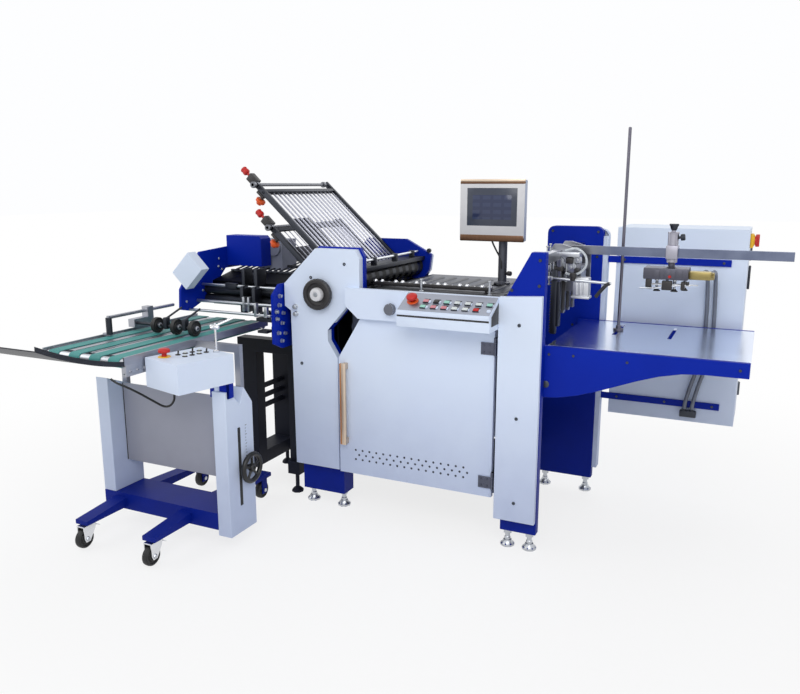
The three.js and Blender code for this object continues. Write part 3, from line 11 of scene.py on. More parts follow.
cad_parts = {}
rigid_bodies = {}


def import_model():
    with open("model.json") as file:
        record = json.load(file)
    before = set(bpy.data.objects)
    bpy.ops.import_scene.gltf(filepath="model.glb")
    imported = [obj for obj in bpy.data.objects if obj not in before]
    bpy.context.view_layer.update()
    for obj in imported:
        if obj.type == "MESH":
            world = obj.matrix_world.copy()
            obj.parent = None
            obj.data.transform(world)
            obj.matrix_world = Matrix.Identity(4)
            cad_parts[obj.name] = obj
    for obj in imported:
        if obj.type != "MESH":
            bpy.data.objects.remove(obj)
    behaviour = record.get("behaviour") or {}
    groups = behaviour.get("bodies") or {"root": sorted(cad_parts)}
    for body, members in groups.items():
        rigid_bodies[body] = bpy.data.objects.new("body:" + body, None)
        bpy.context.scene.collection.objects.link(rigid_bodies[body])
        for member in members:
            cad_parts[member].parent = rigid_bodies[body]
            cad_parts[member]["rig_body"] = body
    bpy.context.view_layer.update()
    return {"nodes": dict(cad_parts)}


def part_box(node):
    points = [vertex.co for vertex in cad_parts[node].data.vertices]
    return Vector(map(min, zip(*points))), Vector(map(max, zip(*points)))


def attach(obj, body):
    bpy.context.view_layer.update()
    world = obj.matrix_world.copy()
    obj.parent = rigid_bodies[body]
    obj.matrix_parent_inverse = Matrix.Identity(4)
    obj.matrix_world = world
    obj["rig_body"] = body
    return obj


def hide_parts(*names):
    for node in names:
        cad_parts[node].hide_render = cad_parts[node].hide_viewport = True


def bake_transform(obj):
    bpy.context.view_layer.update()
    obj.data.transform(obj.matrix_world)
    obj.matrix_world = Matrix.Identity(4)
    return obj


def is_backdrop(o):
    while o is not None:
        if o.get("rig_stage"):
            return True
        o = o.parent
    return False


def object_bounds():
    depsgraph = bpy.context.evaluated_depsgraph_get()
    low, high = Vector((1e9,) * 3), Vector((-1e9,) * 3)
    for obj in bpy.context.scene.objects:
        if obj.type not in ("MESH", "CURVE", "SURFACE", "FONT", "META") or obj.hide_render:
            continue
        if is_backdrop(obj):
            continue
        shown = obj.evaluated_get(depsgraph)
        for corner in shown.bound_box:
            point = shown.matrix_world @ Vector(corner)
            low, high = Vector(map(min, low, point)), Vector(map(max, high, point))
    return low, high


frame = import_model()

# The front side cover is the datum of the machine: its left edge and its face are known places,
# so they give where the machine's own frame lies in the row frame.
cover_left = -553
cover_face = -345.3
cover_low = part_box("fold_cover_front")[0]
machine_origin = Vector((cover_low.x - cover_left / 1000, cover_low.y - cover_face / 1000, 0))


def at(x, y, z):
    """A place in the machine's frame, in millimetres, as a point in the row frame."""
    return machine_origin + Vector((x, y, z)) / 1000


# The photographer stood in front of the feeder half at eye level and looked a little down the machine,
# with a normal lens. The room is white: a floor, a large soft window light and a lamp on each side.
camera_place = at(1230, -3010, 1360)
camera_tilt = 78.1
camera_turn = 25.2
camera_data = bpy.data.cameras.new("photo_camera")
camera_data.lens = 34.65
camera_data.sensor_width = 36
camera = bpy.data.objects.new("photo_camera", camera_data)
camera.location = camera_place
camera.rotation_euler = Euler((radians(camera_tilt), 0, radians(camera_turn)))
bpy.context.scene.collection.objects.link(camera)
bpy.context.scene.camera = camera
bpy.context.scene.view_settings.view_transform = "Standard"


class Wire:
    """What comes out of a shader node. Sums on it add Math nodes to the same finish."""

    def __init__(self, finish, socket):
        self.finish = finish
        self.socket = socket

    def work(self, operation, other, swapped=False):
        first, second = (other, self) if swapped else (self, other)
        return self.finish.node("ShaderNodeMath", {"operation": operation}, {0: first, 1: second})

    def __add__(self, other):
        return self.work("ADD", other)

    def __sub__(self, other):
        return self.work("SUBTRACT", other)

    def __rsub__(self, other):
        return self.work("SUBTRACT", other, True)

    def __mul__(self, other):
        return self.work("MULTIPLY", other)

    def __truediv__(self, other):
        return self.work("DIVIDE", other)

    def __lt__(self, other):
        return self.work("LESS_THAN", other)

    def __gt__(self, other):
        return self.work("GREATER_THAN", other)

    __radd__ = __add__
    __rmul__ = __mul__


class Finish:
    """A surface finish: a material whose nodes are added one by one."""

    def __init__(self, name, metallic=0.0):
        self.material = bpy.data.materials.new(name)
        self.material.use_nodes = True
        self.tree = self.material.node_tree
        self.shader = self.tree.nodes["Principled BSDF"]
        self.shader.inputs["Metallic"].default_value = metallic

    def node(self, kind, settings, inputs, output=0):
        node = self.tree.nodes.new(kind)
        for key, value in settings.items():
            setattr(node, key, value)
        for key, value in inputs.items():
            self.feed(node.inputs[key], value)
        return Wire(self, node.outputs[output])

    def feed(self, socket, value):
        if isinstance(value, Wire):
            self.tree.links.new(value.socket, socket)
        else:
            socket.default_value = value

    def set(self, **values):
        for key, value in values.items():
            self.feed(self.shader.inputs[key.replace("_", " ")], value)

    def math(self, operation, *values):
        """A Math node for what has no sign of its own, such as a sine."""
        return self.node("ShaderNodeMath", {"operation": operation}, dict(enumerate(values)))

    def spot(self):
        """The place of the surface point on its object."""
        return self.node("ShaderNodeTexCoord", {}, {}, "Object")

    def part(self, axis):
        """One coordinate of the surface point, in metres."""
        return self.node("ShaderNodeSeparateXYZ", {}, {0: self.spot()}, axis)

    def grain(self, size, detail=2.0, stretch=(1, 1, 1), turn=(0, 0, 0)):
        """Noise from 0 to 1 whose blotches are about size metres across."""
        place = {"Vector": self.spot(), "Scale": stretch, "Rotation": turn}
        place = self.node("ShaderNodeMapping", {}, place)
        noise = {"Vector": place, "Scale": 0.5 / size, "Detail": detail}
        return self.node("ShaderNodeTexNoise", {}, noise, "Fac")

    def between(self, value, start, end):
        """0 at start, 1 at end, smooth between them."""
        settings = {"interpolation_type": "SMOOTHSTEP"}
        return self.node("ShaderNodeMapRange", settings, {0: value, 1: start, 2: end, 3: 0.0, 4: 1.0})

    def mix(self, share, first, second):
        """Two colours mixed."""
        settings = {"data_type": "RGBA"}
        return self.node("ShaderNodeMix", settings, {0: share, 6: first, 7: second}, 2)

    def bump(self, height, strength, distance):
        inputs = {"Height": height, "Strength": strength, "Distance": distance}
        self.set(Normal=self.node("ShaderNodeBump", {}, inputs))


def light_of(level):
    """The light value of a screen level from 0 to 255."""
    share = level / 255
    return share / 12.92 if share < 0.041 else ((share + 0.055) / 1.055) ** 2.4


def shade(red, green, blue):
    """A colour as it is seen on a screen, as the light values a shader takes."""
    return (light_of(red), light_of(green), light_of(blue), 1.0)


floor_near = 1.1
floor_far = 3.4
floor_haze = 0.78


def floor_finish():
    """Pale matt floor near the machine, which fades into the white room far from it."""
    finish = Finish("pale_floor")
    speckle = finish.grain(0.4, 3.0)
    finish.set(Base_Color=finish.mix(speckle, shade(244, 244, 246), shade(248, 248, 249)))
    finish.set(Roughness=0.7)
    reach = finish.node("ShaderNodeVectorMath", {"operation": "LENGTH"}, {0: finish.spot()}, "Value")
    rays = finish.node("ShaderNodeLightPath", {}, {}, "Is Camera Ray")
    glossy = finish.node("ShaderNodeLightPath", {}, {}, "Is Glossy Ray")
    straight = finish.math("MAXIMUM", rays, glossy)
    glow = finish.node("ShaderNodeEmission", {}, {"Strength": 1.0}, 0)
    fade = (floor_haze + finish.between(reach, floor_near, floor_far) * (1 - floor_haze)) * straight
    matt = Wire(finish, finish.shader.outputs[0])
    paler = finish.node("ShaderNodeMixShader", {}, {0: fade, 1: matt, 2: glow})
    finish.feed(finish.tree.nodes["Material Output"].inputs["Surface"], paler)
    return finish


floor_half = 30.0
floor_drop = 0.0005
floor_shape = bmesh.new()
bmesh.ops.create_grid(floor_shape, x_segments=1, y_segments=1, size=floor_half)
floor_mesh = bpy.data.meshes.new("studio_floor")
floor_shape.to_mesh(floor_mesh)
floor_shape.free()
floor = bpy.data.objects.new("studio_floor", floor_mesh)
floor.location.z = -floor_drop
floor_mesh.materials.append(floor_finish().material)
bpy.context.scene.collection.objects.link(floor)
floor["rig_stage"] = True

# The white walls of the room are seen at full brightness, but light the machine only half as much,
# so that its shadows stay deep.
room_light = 0.5
room_white = (0.985, 0.99, 1.0, 1.0)
world = bpy.data.worlds.new("white_room")
world.use_nodes = True
bpy.context.scene.world = world
sky = world.node_tree
rays = sky.nodes.new("ShaderNodeLightPath")
seen = rays.outputs["Is Camera Ray"]
for kind in ("Is Glossy Ray", "Is Transmission Ray"):
    either = sky.nodes.new("ShaderNodeMath")
    either.operation = "MAXIMUM"
    sky.links.new(seen, either.inputs[0])
    sky.links.new(rays.outputs[kind], either.inputs[1])
    seen = either.outputs[0]
level = sky.nodes.new("ShaderNodeMapRange")
level.inputs["To Min"].default_value = room_light
level.inputs["To Max"].default_value = 1.0
background = sky.nodes["Background"]
sky.links.new(seen, level.inputs["Value"])
sky.links.new(level.outputs["Result"], background.inputs["Strength"])
background.inputs["Color"].default_value = room_white


def soft_lamp(name, place, target, width, height, power):
    lamp_data = bpy.data.lights.new(name, "AREA")
    lamp_data.shape = "RECTANGLE"
    lamp_data.size = width
    lamp_data.size_y = height
    lamp_data.energy = power
    lamp = bpy.data.objects.new(name, lamp_data)
    lamp.location = place
    lamp.rotation_euler = (place - target).to_track_quat("Z", "Y").to_euler()
    bpy.context.scene.collection.objects.link(lamp)


machine_middle = at(0, 0, 700)
soft_lamp("window_light", at(1500, -3600, 3300), machine_middle, 3.2, 2.2, 72)
soft_lamp("left_light", at(-3000, -1800, 2600), machine_middle, 2.4, 2.0, 22)
soft_lamp("back_light", at(600, 3200, 3000), machine_middle, 3.0, 1.6, 26)

# The air hoses run from the suction head back over the pile and down to a coupling on the lower bar
# of the cabinet. They are soft grey plastic tube.
hose_route = [
    (1045, 56.3, 1030), (1045.4, 88, 1030.6), (1046, 120, 1031), (1047, 170, 1030), (1048, 220, 1027),
    (1049, 262, 1020), (1050, 296, 1008), (1050.4, 318, 986), (1051, 332, 960), (1052.6, 339.4, 926),
    (1054, 340, 890), (1055.4, 340, 840), (1056, 340, 790), (1054.4, 340, 740), (1050, 340, 690),
    (1040.6, 340, 636), (1028, 340, 580), (1017, 340, 540), (1008, 340, 500), (1000, 340, 460),
    (998, 340, 429),
]
hose_radius = 8
hose_sides = (-15, 15)


def smooth_route(places, steps):
    """A line of points in the row frame along a smooth curve through places in millimetres."""
    points = [at(*place) for place in places]
    path = []
    last = len(points) - 1
    for index in range(last):
        before, start, end, after = (points[min(max(index + step, 0), last)] for step in (-1, 0, 1, 2))
        near = (end - before) * 0.5
        far = (after - start) * 0.5
        for step in range(steps):
            t = step / steps
            bend = start * (2 * t ** 3 - 3 * t ** 2 + 1) + end * (3 * t ** 2 - 2 * t ** 3)
            path.append(bend + near * (t ** 3 - 2 * t ** 2 + t) + far * (t ** 3 - t ** 2))
    return path + [points[last]]


def tube(points, radius, sides):
    """A round tube whose middle line follows the points, as rings bridged one to the next."""
    def add(shape):
        rings = []
        for index, point in enumerate(points):
            before = points[max(index - 1, 0)]
            after = points[min(index + 1, len(points) - 1)]
            turn = (after - before).to_track_quat("Z", "X").to_matrix().to_4x4()
            place = Matrix.Translation(point) @ turn
            ring = bmesh.ops.create_circle(shape, segments=sides, radius=radius / 1000, matrix=place)
            rings.append(ring["verts"])
        for first, second in zip(rings, rings[1:]):
            ends = set(first) | set(second)
            edges = {edge for vert in first + second for edge in vert.link_edges}
            edges = [edge for edge in edges if len(edge.link_faces) < 2]
            loops = [edge for edge in edges if edge.verts[0] in ends and edge.verts[1] in ends]
            bmesh.ops.bridge_loops(shape, edges=loops)
        for ring in (rings[0], rings[-1]):
            shape.faces.new(ring)
    return add


def finished(name, shape, finish, body, crease):
    """Closes a mesh: clean normals, smooth faces up to the crease angle, its finish and its body."""
    bmesh.ops.remove_doubles(shape, verts=shape.verts, dist=0.00001)
    bmesh.ops.recalc_face_normals(shape, faces=shape.faces)
    mesh = bpy.data.meshes.new(name)
    shape.to_mesh(mesh)
    shape.free()
    mesh.shade_smooth()
    mesh.set_sharp_from_angle(angle=radians(crease))
    mesh.materials.append(finish.material)
    piece = bpy.data.objects.new(name, mesh)
    bpy.context.scene.collection.objects.link(piece)
    if body:
        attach(piece, body)
    return piece


def new_piece(name, finish, slot, *forms, body="root", stands_for=None, crease=30):
    """A piece from forms, each a function that adds to a mesh. It may stand for a CAD node."""
    shape = bmesh.new()
    for add in forms:
        add(shape)
    piece = finished(name, shape, finish, body, crease)
    if stands_for:
        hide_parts(stands_for)
    return piece


def hose_finish():
    finish = Finish("grey_air_hose")
    cloud = finish.grain(0.02, 3.0)
    ribs = finish.math("SINE", finish.part("Z") * 2200)
    finish.set(Base_Color=finish.mix(cloud, shade(92, 98, 112), shade(126, 132, 146)))
    finish.set(Roughness=0.32 + cloud * 0.12)
    finish.bump(ribs * 0.4 + cloud, 0.12, 0.0006)
    return finish


hose_grey = hose_finish()
for number, side in enumerate(hose_sides, 1):
    line = smooth_route([(x + side, y, z) for x, y, z in hose_route], 4)
    hose = new_piece(
        "air_hose_%d" % number, hose_grey, "hose", tube(line, hose_radius, 16), body=None, crease=35,
    )
    hose_length = sum((b - a).length for a, b in zip(line, line[1:]))
    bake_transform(hose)
    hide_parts("hose_pair")


# Two octagonal side frames carry the whole fold unit. Each is 20 mm plate, cut out and bored for the
# roller journals, powder coated blue, and stands on two levelling feet with domed zinc pads.
def paint(name, deep, light, rough, peel=0.12, low_shade=shade(6, 14, 44)):
    """Powder coat: a faint orange peel, a little cloud in the colour, and painted shade that darkens it low
    down.
    """
    finish = Finish(name)
    cloud = finish.grain(0.16, 3.0)
    fine = finish.grain(0.0016, 2.0)
    # Painted shade: from 0.78 m down to the floor the colour darkens towards the low shade colour.
    low = finish.between(finish.part("Z"), 0.78, 0.05)
    shade_below = low * (0.6 + finish.grain(0.05, 4.0) * 0.4) * 0.5
    colour = finish.mix(cloud, deep, light)
    finish.set(Base_Color=finish.mix(shade_below, colour, low_shade))
    finish.set(Roughness=rough + cloud * 0.08 + fine * 0.05 + shade_below * 0.1)
    finish.bump(fine, peel, 0.0008)
    finish.shader.inputs["Specular IOR Level"].default_value = 0.14
    return finish


def metal(name, dark, light, rough, stretch=(1, 1, 1), line=0.0012, strength=0.06):
    """Bare or plated metal: fine lines along one direction, and handling marks that dull it in places."""
    finish = Finish(name, metallic=1.0)
    lines = finish.grain(line, 4.0, stretch)
    marks = finish.grain(0.07, 4.0)
    finish.set(Base_Color=finish.mix(lines * 0.6 + marks * 0.4, dark, light))
    finish.set(Roughness=rough + lines * 0.08 + marks * 0.12)
    finish.bump(lines, strength, 0.0004)
    return finish


blue_paint = paint("blue_powder_coat", shade(0, 32, 150), shade(2, 42, 174), 0.4)
zinc = metal("zinc_plated_steel", shade(168, 172, 178), shade(206, 209, 214), 0.24)
upward = (0, 0, 1)


def softened(node, finish, edge):
    """A copy of a CAD solid with its sharp edges rounded off. It stands for the node."""
    shape = bmesh.new()
    shape.from_mesh(frame["nodes"][node].data)
    bmesh.ops.remove_doubles(shape, verts=shape.verts, dist=0.00001)
    bmesh.ops.dissolve_limit(shape, angle_limit=radians(0.5), verts=shape.verts, edges=shape.edges)
    piece = finished(node + "_dressed", shape, finish, frame["nodes"][node]["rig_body"], 35)
    bevel = piece.modifiers.new("rounded_edges", "BEVEL")
    bevel.width = edge / 1000
    bevel.segments = 2
    bevel.limit_method = "ANGLE"
    bevel.angle_limit = radians(50)
    bevel.harden_normals = True
    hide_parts(node)


def turned(start, direction, profile, sides=32):
    """A turned form: profile is radius and distance along the direction, in millimetres."""
    def add(shape):
        base = at(*start)
        along = Vector(direction).normalized()
        across = along.orthogonal().normalized()
        points = [base + (across * radius + along * reach) / 1000 for radius, reach in profile]
        verts = [shape.verts.new(point) for point in points]
        edges = [shape.edges.new(pair) for pair in zip(verts, verts[1:])]
        bmesh.ops.spin(
            shape, geom=verts + edges, cent=base, axis=along, angle=2 * pi, steps=sides, use_merge=True,
        )
    return add


softened("fold_frame_front", blue_paint, 1.5)
softened("fold_frame_rear", blue_paint, 1.5)

foot_height = 66
foot_stem = 9.4
foot_pad = [
    (0, 0), (25, 0), (27.4, 2), (27.4, 8), (25, 10), (17, 19), (15.6, 24), (12, 25), (12, 34), (10, 36),
    (foot_stem, 37), (foot_stem, foot_height), (0, foot_height),
]
nut_radius = 17
nut_low = 50
nut_high = 64
nut_curve = [(0, nut_low), (nut_radius, nut_low), (nut_radius, nut_high), (0, nut_high)]


def levelling_feet(places):
    """Levelling feet: each has a domed pad, a threaded stem and the lock nut under the frame."""
    feet = []
    for x, y in places:
        feet.append(turned((x, y, 0), upward, foot_pad, 28))
        feet.append(turned((x, y, foot_height - nut_high), upward, nut_curve, 6))
    return feet


fold_foot_places = [(x, y) for y in (-275, 275) for x in (-476, -324)]
new_piece("fold_unit_feet", zinc, "chrome", *levelling_feet(fold_foot_places))

# White covers close the fold unit's sides. They are 2 mm sheet pans, folded back all round, held by
# recessed cap screws. The near one is bored for the handwheel's shaft and two small adjusting knobs.
frontward = (0, -1, 0)
# The white coat's low shade colour is painted shade, which greys it towards the floor.
white_low_shade = shade(112, 122, 172)
white_paint = paint("white_powder_coat", shade(221, 233, 255), shade(229, 240, 255), 0.36, 0.09, white_low_shade)
screw_steel = metal("black_oxide_screws", shade(62, 66, 74), shade(96, 100, 108), 0.34)
softened("fold_cover_front", white_paint, 3.0)
softened("fold_cover_rear", white_paint, 3.0)


def screw(place, direction, radius, head):
    """A cap screw: a domed head with a hexagon socket."""
    rim = radius * 0.86
    socket = radius * 0.5
    cap = [(radius, 0), (radius, head * 0.6), (rim, head), (socket, head)]
    hollow = [(socket, head), (socket * 0.94, head * 0.35), (0, head * 0.3)]

    def add(shape):
        turned(place, direction, cap, 18)(shape)
        turned(place, direction, hollow, 6)(shape)
    return add


cover_screws = [(-424, 992), (-477, 630), (-268, 1052)]
cover_knobs = [(-500, 868), (-498, 838)]
knob_curve = [(0, 16), (7, 16), (9, 14), (9, 4), (11, 2), (11, -1), (0, -1)]
new_piece(
    "fold_cover_screws", screw_steel, "black_metal",
    *(screw((x, cover_face + 1.5, z), frontward, 6.5, 4.5) for x, z in cover_screws),
)
new_piece(
    "fold_cover_knobs", zinc, "chrome",
    *(turned((x, cover_face, z), frontward, knob_curve, 24) for x, z in cover_knobs),
)

# The fold rollers are steel tubes with a ground spiral and bands of polyurethane that grip the sheet.
# Each runs on a journal in both side frames.
backward = (0, 1, 0)
roller_radius = 40
roller_half = 294
journal_radius = 12
roller_places = {
    "fold_roller_1": (-380.3, 928.1, "drive_roller"),
    "fold_roller_2": (-244.7, 987.9, "top_roller"),
    "fold_roller_3": (-299.3, 928.1, "low_roller"),
}
band_count = 9
band_wide = 34


def roller_finish():
    """Grip bands round a dark ground tube, repeated along its length."""
    finish = Finish("banded_fold_roller")
    band_pitch = 2 * roller_half / 1000 / band_count
    across = finish.part("Y") - machine_origin.y + 50 * band_pitch
    phase = finish.math("MODULO", across, band_pitch)
    band = finish.between(phase, band_wide / 1000, band_wide / 1000 + 0.0012)
    wear = finish.grain(0.01, 3.0)
    twist = finish.grain(0.0016, 2.0, (1, 1, 1), (0.6, 0, 0))
    ground = finish.mix(wear, shade(34, 36, 42), shade(62, 65, 72))
    finish.set(Base_Color=finish.mix(band, shade(14, 15, 18), ground))
    finish.set(Metallic=band, Roughness=0.62 - band * 0.36 + wear * 0.1)
    finish.bump(twist + band * 2.0, 0.15, 0.0006)
    return finish


banded_roller = roller_finish()
for roller_name, (roller_x, roller_z, roller_body) in roller_places.items():
    node_low, node_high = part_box(roller_name)
    front = (node_low.y - machine_origin.y) * 1000
    back = (node_high.y - machine_origin.y) * 1000
    near_end = -roller_half - front
    far_end = roller_half - front
    roller_curve = [
        (0, 0), (journal_radius - 1, 0), (journal_radius, 1), (journal_radius, near_end),
        (roller_radius - 2, near_end), (roller_radius, 2 - roller_half - front),
        (roller_radius, roller_half - 2 - front), (roller_radius - 2, far_end),
        (journal_radius, far_end), (journal_radius, back - front), (0, back - front),
    ]
    new_piece(
        roller_name + "_dressed", banded_roller, "steel",
        turned((roller_x, front, roller_z), backward, roller_curve, 48),
        body=roller_body, stands_for=roller_name,
    )

# The handwheel turns the rollers by hand to clear a jam. It is black phenolic with a fluted grip, and
# has a white lacquered hub with a steel clamp screw in its middle.
wheel_x, wheel_z, wheel_body = roller_places["fold_roller_1"]
wheel_back = -357.3
wheel_radius = 64
wheel_depth = 24
wheel_foot = (wheel_x, wheel_back, wheel_z)
grip_count = 28
grip_reach = wheel_radius - 3.4
rim_curve = [
    (46, -2), (48, 0), (58, 0), (wheel_radius - 1.6, 3), (wheel_radius - 1.6, wheel_depth - 3),
    (58, wheel_depth), (48, wheel_depth), (45, wheel_depth - 3), (43, 15), (28, 11), (28, 4), (46, 4),
    (46, -2),
]
grip_curve = [
    (0, 3), (2, 2.6), (3.2, 5), (3.2, wheel_depth - 5), (2, wheel_depth - 2.6), (0, wheel_depth - 3),
]
hub_curve = [(0, 0), (28, 0), (28, 22), (25, 29), (23, 30), (12, 30), (11, 27), (0, 27)]


def moulded(name, dark, light, rough, size=0.0009, strength=0.1):
    """Moulded plastic or rubber: even colour, a fine grain, and a dull bloom in patches."""
    finish = Finish(name)
    fine = finish.grain(size, 3.0)
    bloom = finish.grain(0.03, 3.0)
    finish.set(Base_Color=finish.mix(bloom * 0.7 + fine * 0.3, dark, light))
    finish.set(Roughness=rough + bloom * 0.14 + fine * 0.06)
    finish.bump(fine, strength, 0.0005)
    return finish


def around(count, radius, x, y, z):
    """Places spaced evenly on an upright circle that faces front and back."""
    angles = [2 * pi * index / count for index in range(count)]
    return [(x + radius * cos(angle), y, z + radius * sin(angle)) for angle in angles]


black_plastic = moulded("black_phenolic", shade(30, 29, 31), shade(52, 49, 50), 0.34)
white_hub = moulded("white_lacquered_hub", shade(208, 208, 212), shade(228, 228, 230), 0.3)
new_piece(
    "handwheel_dressed", black_plastic, "black_metal",
    turned(wheel_foot, frontward, rim_curve, 56),
    *(turned(spot, frontward, grip_curve, 8) for spot in around(grip_count, grip_reach, *wheel_foot)),
    body=wheel_body, stands_for="handwheel", crease=32,
)
new_piece(
    "handwheel_hub", white_hub, "white_panel", turned(wheel_foot, frontward, hub_curve, 40),
    body=wheel_body, crease=32,
)
new_piece(
    "handwheel_screw", zinc, "chrome",
    screw((wheel_x, wheel_back - 26, wheel_z), frontward, 9, 4), body=wheel_body,
)

# The buckle fold plates rise from the rollers at 42 degrees. A sheet runs up between two layers of
# ground steel slats and stops against a bar; side rails, cross bars and a round top bar hold them.
plate_angle = radians(42.4)
plate_foot = Vector((-272, 0, 958))
plate_along = Vector((-cos(plate_angle), 0, sin(plate_angle)))
plate_off = Vector((sin(plate_angle), 0, cos(plate_angle)))
rail_outer = 294.7
rail_inner = 278.7
slat_count = 16
slat_half = 3.4
slat_thick = 2.2
paper_gap = 2.4
cross_bar_wide = 16
slat_pitch = 2 * (rail_inner - 16) / (slat_count - 1)
slat_middles = [16 - rail_inner + index * slat_pitch for index in range(slat_count)]
fold_plates = {
    "upper": {"start": 72, "end": 606, "level": 0, "grille_end": 560, "layers": (-1, 1)},
    "lower": {"start": 112, "end": 440, "level": -85, "grille_end": 414, "layers": (1,)},
}


def on_plate(along, across, off):
    """A place on a fold plate: up the slope, away from the operator, and off the plate."""
    return tuple(plate_foot + plate_along * along + Vector((0, across, 0)) + plate_off * off)


def rod(radius, length, edge=0):
    """The profile of a round bar whose ends are bevelled by the edge."""
    if not edge:
        return [(0, 0), (radius, 0), (radius, length), (0, length)]
    inner = radius - edge
    return [(0, 0), (inner, 0), (radius, edge), (radius, length - edge), (inner, length), (0, length)]


def round_over(shape, verts, edge):
    edges = list({line for vert in verts for line in vert.link_edges})
    bmesh.ops.bevel(
        shape, geom=list(verts) + edges, offset=edge / 1000, segments=2, profile=0.5,
        affect="EDGES", material=-1, clamp_overlap=True,
    )


def thickened(shape, faces, depth):
    """Gives faces a thickness along a vector in millimetres. It returns the far side's points."""
    made = bmesh.ops.extrude_face_region(shape, geom=faces)["geom"]
    far = [item for item in made if isinstance(item, bmesh.types.BMVert)]
    bmesh.ops.translate(shape, verts=far, vec=Vector(depth) / 1000)
    return far


def plate(corners, depth, edge):
    """A plate from the corners of one face, in millimetres, and the vector through its thickness."""
    def add(shape):
        verts = [shape.verts.new(at(*corner)) for corner in corners]
        face = shape.faces.new(verts)
        far = thickened(shape, [face], depth)
        round_over(shape, verts + far, edge)
    return add


def plate_block(alongs, acrosses, offs, edge):
    """A block that lies square to the fold plate."""
    start, end = alongs
    near, far = sorted(acrosses)
    low, high = sorted(offs)
    corners = [(start, near), (end, near), (end, far), (start, far)]
    return plate([on_plate(*corner, low) for corner in corners], plate_off * (high - low), edge)


def brushed_slope():
    """Ground steel with its lines running up the slope."""
    finish = Finish("ground_slat_steel", metallic=1.0)
    lines = finish.grain(0.0012, 3.0, (0.05, 1, 1), (0, plate_angle, 0))
    film = finish.grain(0.05, 3.0)
    share = lines * 0.5 + film * 0.5
    finish.set(Base_Color=finish.mix(share, shade(158, 160, 174), shade(208, 210, 222)))
    finish.set(Roughness=0.24 + lines * 0.12 + film * 0.1)
    finish.bump(lines, 0.08, 0.0004)
    return finish


slat_steel = brushed_slope()
dark_steel = metal("blackened_steel", shade(46, 48, 54), shade(82, 85, 92), 0.36)
dull_steel = metal("dull_drawn_steel", shade(96, 98, 104), shade(136, 138, 144), 0.34)
red_plastic = moulded("red_moulded_plastic", shade(182, 22, 20), shade(208, 36, 28), 0.3)
orange_plastic = moulded("orange_dial_plastic", shade(214, 72, 18), shade(232, 98, 34), 0.3)

top_bar_reach = 318.3
top_bar_curve = [(0, 0), (6, 0), (7, 1), (7, 590), (0, 590)]
dial_curve = [(0, 14), (9, 14), (19, 16), (21, 18), (21, 28), (19, 30), (12, 31), (11, 40), (0, 41)]
knob_stalk = [
    (0, 0), (6, 0), (6, 14), (11, 15), (14.6, 19), (14.8, 27), (13, 33), (14.6, 40), (12, 43.6),
    (0, 43.8),
]
for plate_name, sizes in fold_plates.items():
    start, end, level = sizes["start"], sizes["end"], sizes["level"]
    grille_end = sizes["grille_end"]
    layers = sizes["layers"]
    slats = []
    for middle in slat_middles:
        for layer in layers:
            offs = (level + layer * paper_gap / 2, level + layer * (paper_gap / 2 + slat_thick))
            edges = (middle - slat_half, middle + slat_half)
            slats.append(plate_block((start + 4, grille_end - 4), edges, offs, 0.6))
    new_piece(
        "fold_plate_%s_slats" % plate_name, slat_steel, "steel", *slats,
        stands_for="fold_plate_" + plate_name,
    )

    rails = []
    for bar_start in (start, grille_end - cross_bar_wide):
        for layer in layers:
            alongs = (bar_start, bar_start + cross_bar_wide)
            offs = (level + layer * paper_gap / 2, level + layer * 10)
            rails.append(plate_block(alongs, (-rail_inner - 2, rail_inner + 2), offs, 1.2))
    for side in (-1, 1):
        inner = side * rail_inner
        outer = side * rail_outer
        rails.append(plate_block((start, end), (inner, outer), (level - 11, level + 11), 1.5))
        lining = (inner, inner - side * 2)
        rails.append(plate_block((start + 30, end - 20), lining, (level - 7, level - 3), 0.4))
        for along in (start + 20, grille_end - 10, end - 26):
            rails.append(screw(on_plate(along, outer * 0.999, level), (0, side, 0), 6, 3.5))
    sheet_end = start + 0.66 * (grille_end - start)
    sheet_across = (-rail_inner - 1, -rail_inner + 150)
    rails.append(plate_block((start + 2, sheet_end), sheet_across, (level - 4.4, level - 3.2), 0.3))
    stop_across = (-rail_inner, rail_inner)
    rails.append(plate_block((start + 60, start + 70), stop_across, (level - 12, level - 3.2), 1))
    new_piece("fold_plate_%s_rails" % plate_name, dark_steel, "black_metal", *rails)

    bar_place = on_plate(end - 10, -top_bar_reach, level)
    collar_acrosses = (-top_bar_reach, -rail_outer, rail_inner - 34)
    collar_places = [on_plate(end - 10, across, level) for across in collar_acrosses]
    new_piece(
        "fold_plate_%s_top_bar" % plate_name, dull_steel, "steel",
        turned(bar_place, backward, top_bar_curve, 24),
        *(turned(place, backward, rod(13.5, 14.5, 1.5), 24) for place in collar_places),
    )

    dial_place = on_plate(end - 62, 16 - rail_outer, level - 20)
    new_piece(
        "fold_plate_%s_adjuster" % plate_name, black_plastic, "black_metal",
        plate_block((end - 4, end + 43.7), (-rail_outer, 32 - rail_outer), (level - 17, level + 17), 3),
        plate_block((end - 70, end - 30), (-rail_outer, 22 - rail_outer), (level - 24, level - 12), 2),
        turned(dial_place, -plate_off, rod(6, 16), 16),
    )
    new_piece(
        "fold_plate_%s_dial" % plate_name, orange_plastic, "red_plastic",
        turned(dial_place, -plate_off, dial_curve, 24),
    )
    new_piece(
        "plate_knob_%s_dressed" % plate_name, red_plastic, "red_plastic",
        turned(on_plate(end + 44.3, 15 - rail_outer, level), plate_along, knob_stalk, 28),
        body=plate_name + "_adjuster", stands_for="plate_knob_" + plate_name,
    )

# The register table joins the fold unit to the feeder: a steel bed with a row of driven rollers, on a
# frame of welded beams. A dark guide with a band and a strip of balls lines the sheet up at its near side.
deck_left = -165.7
deck_right = 372
deck_level = 950
guide_rib_count = 11
guide_rib_pitch = 48
table_roller_count = 9
table_steel = metal(
    "brushed_table_steel", shade(46, 50, 62), shade(84, 89, 104), 0.3, (1, 0.06, 1), 0.0016,
)
softened("register_deck", table_steel, 1.0)


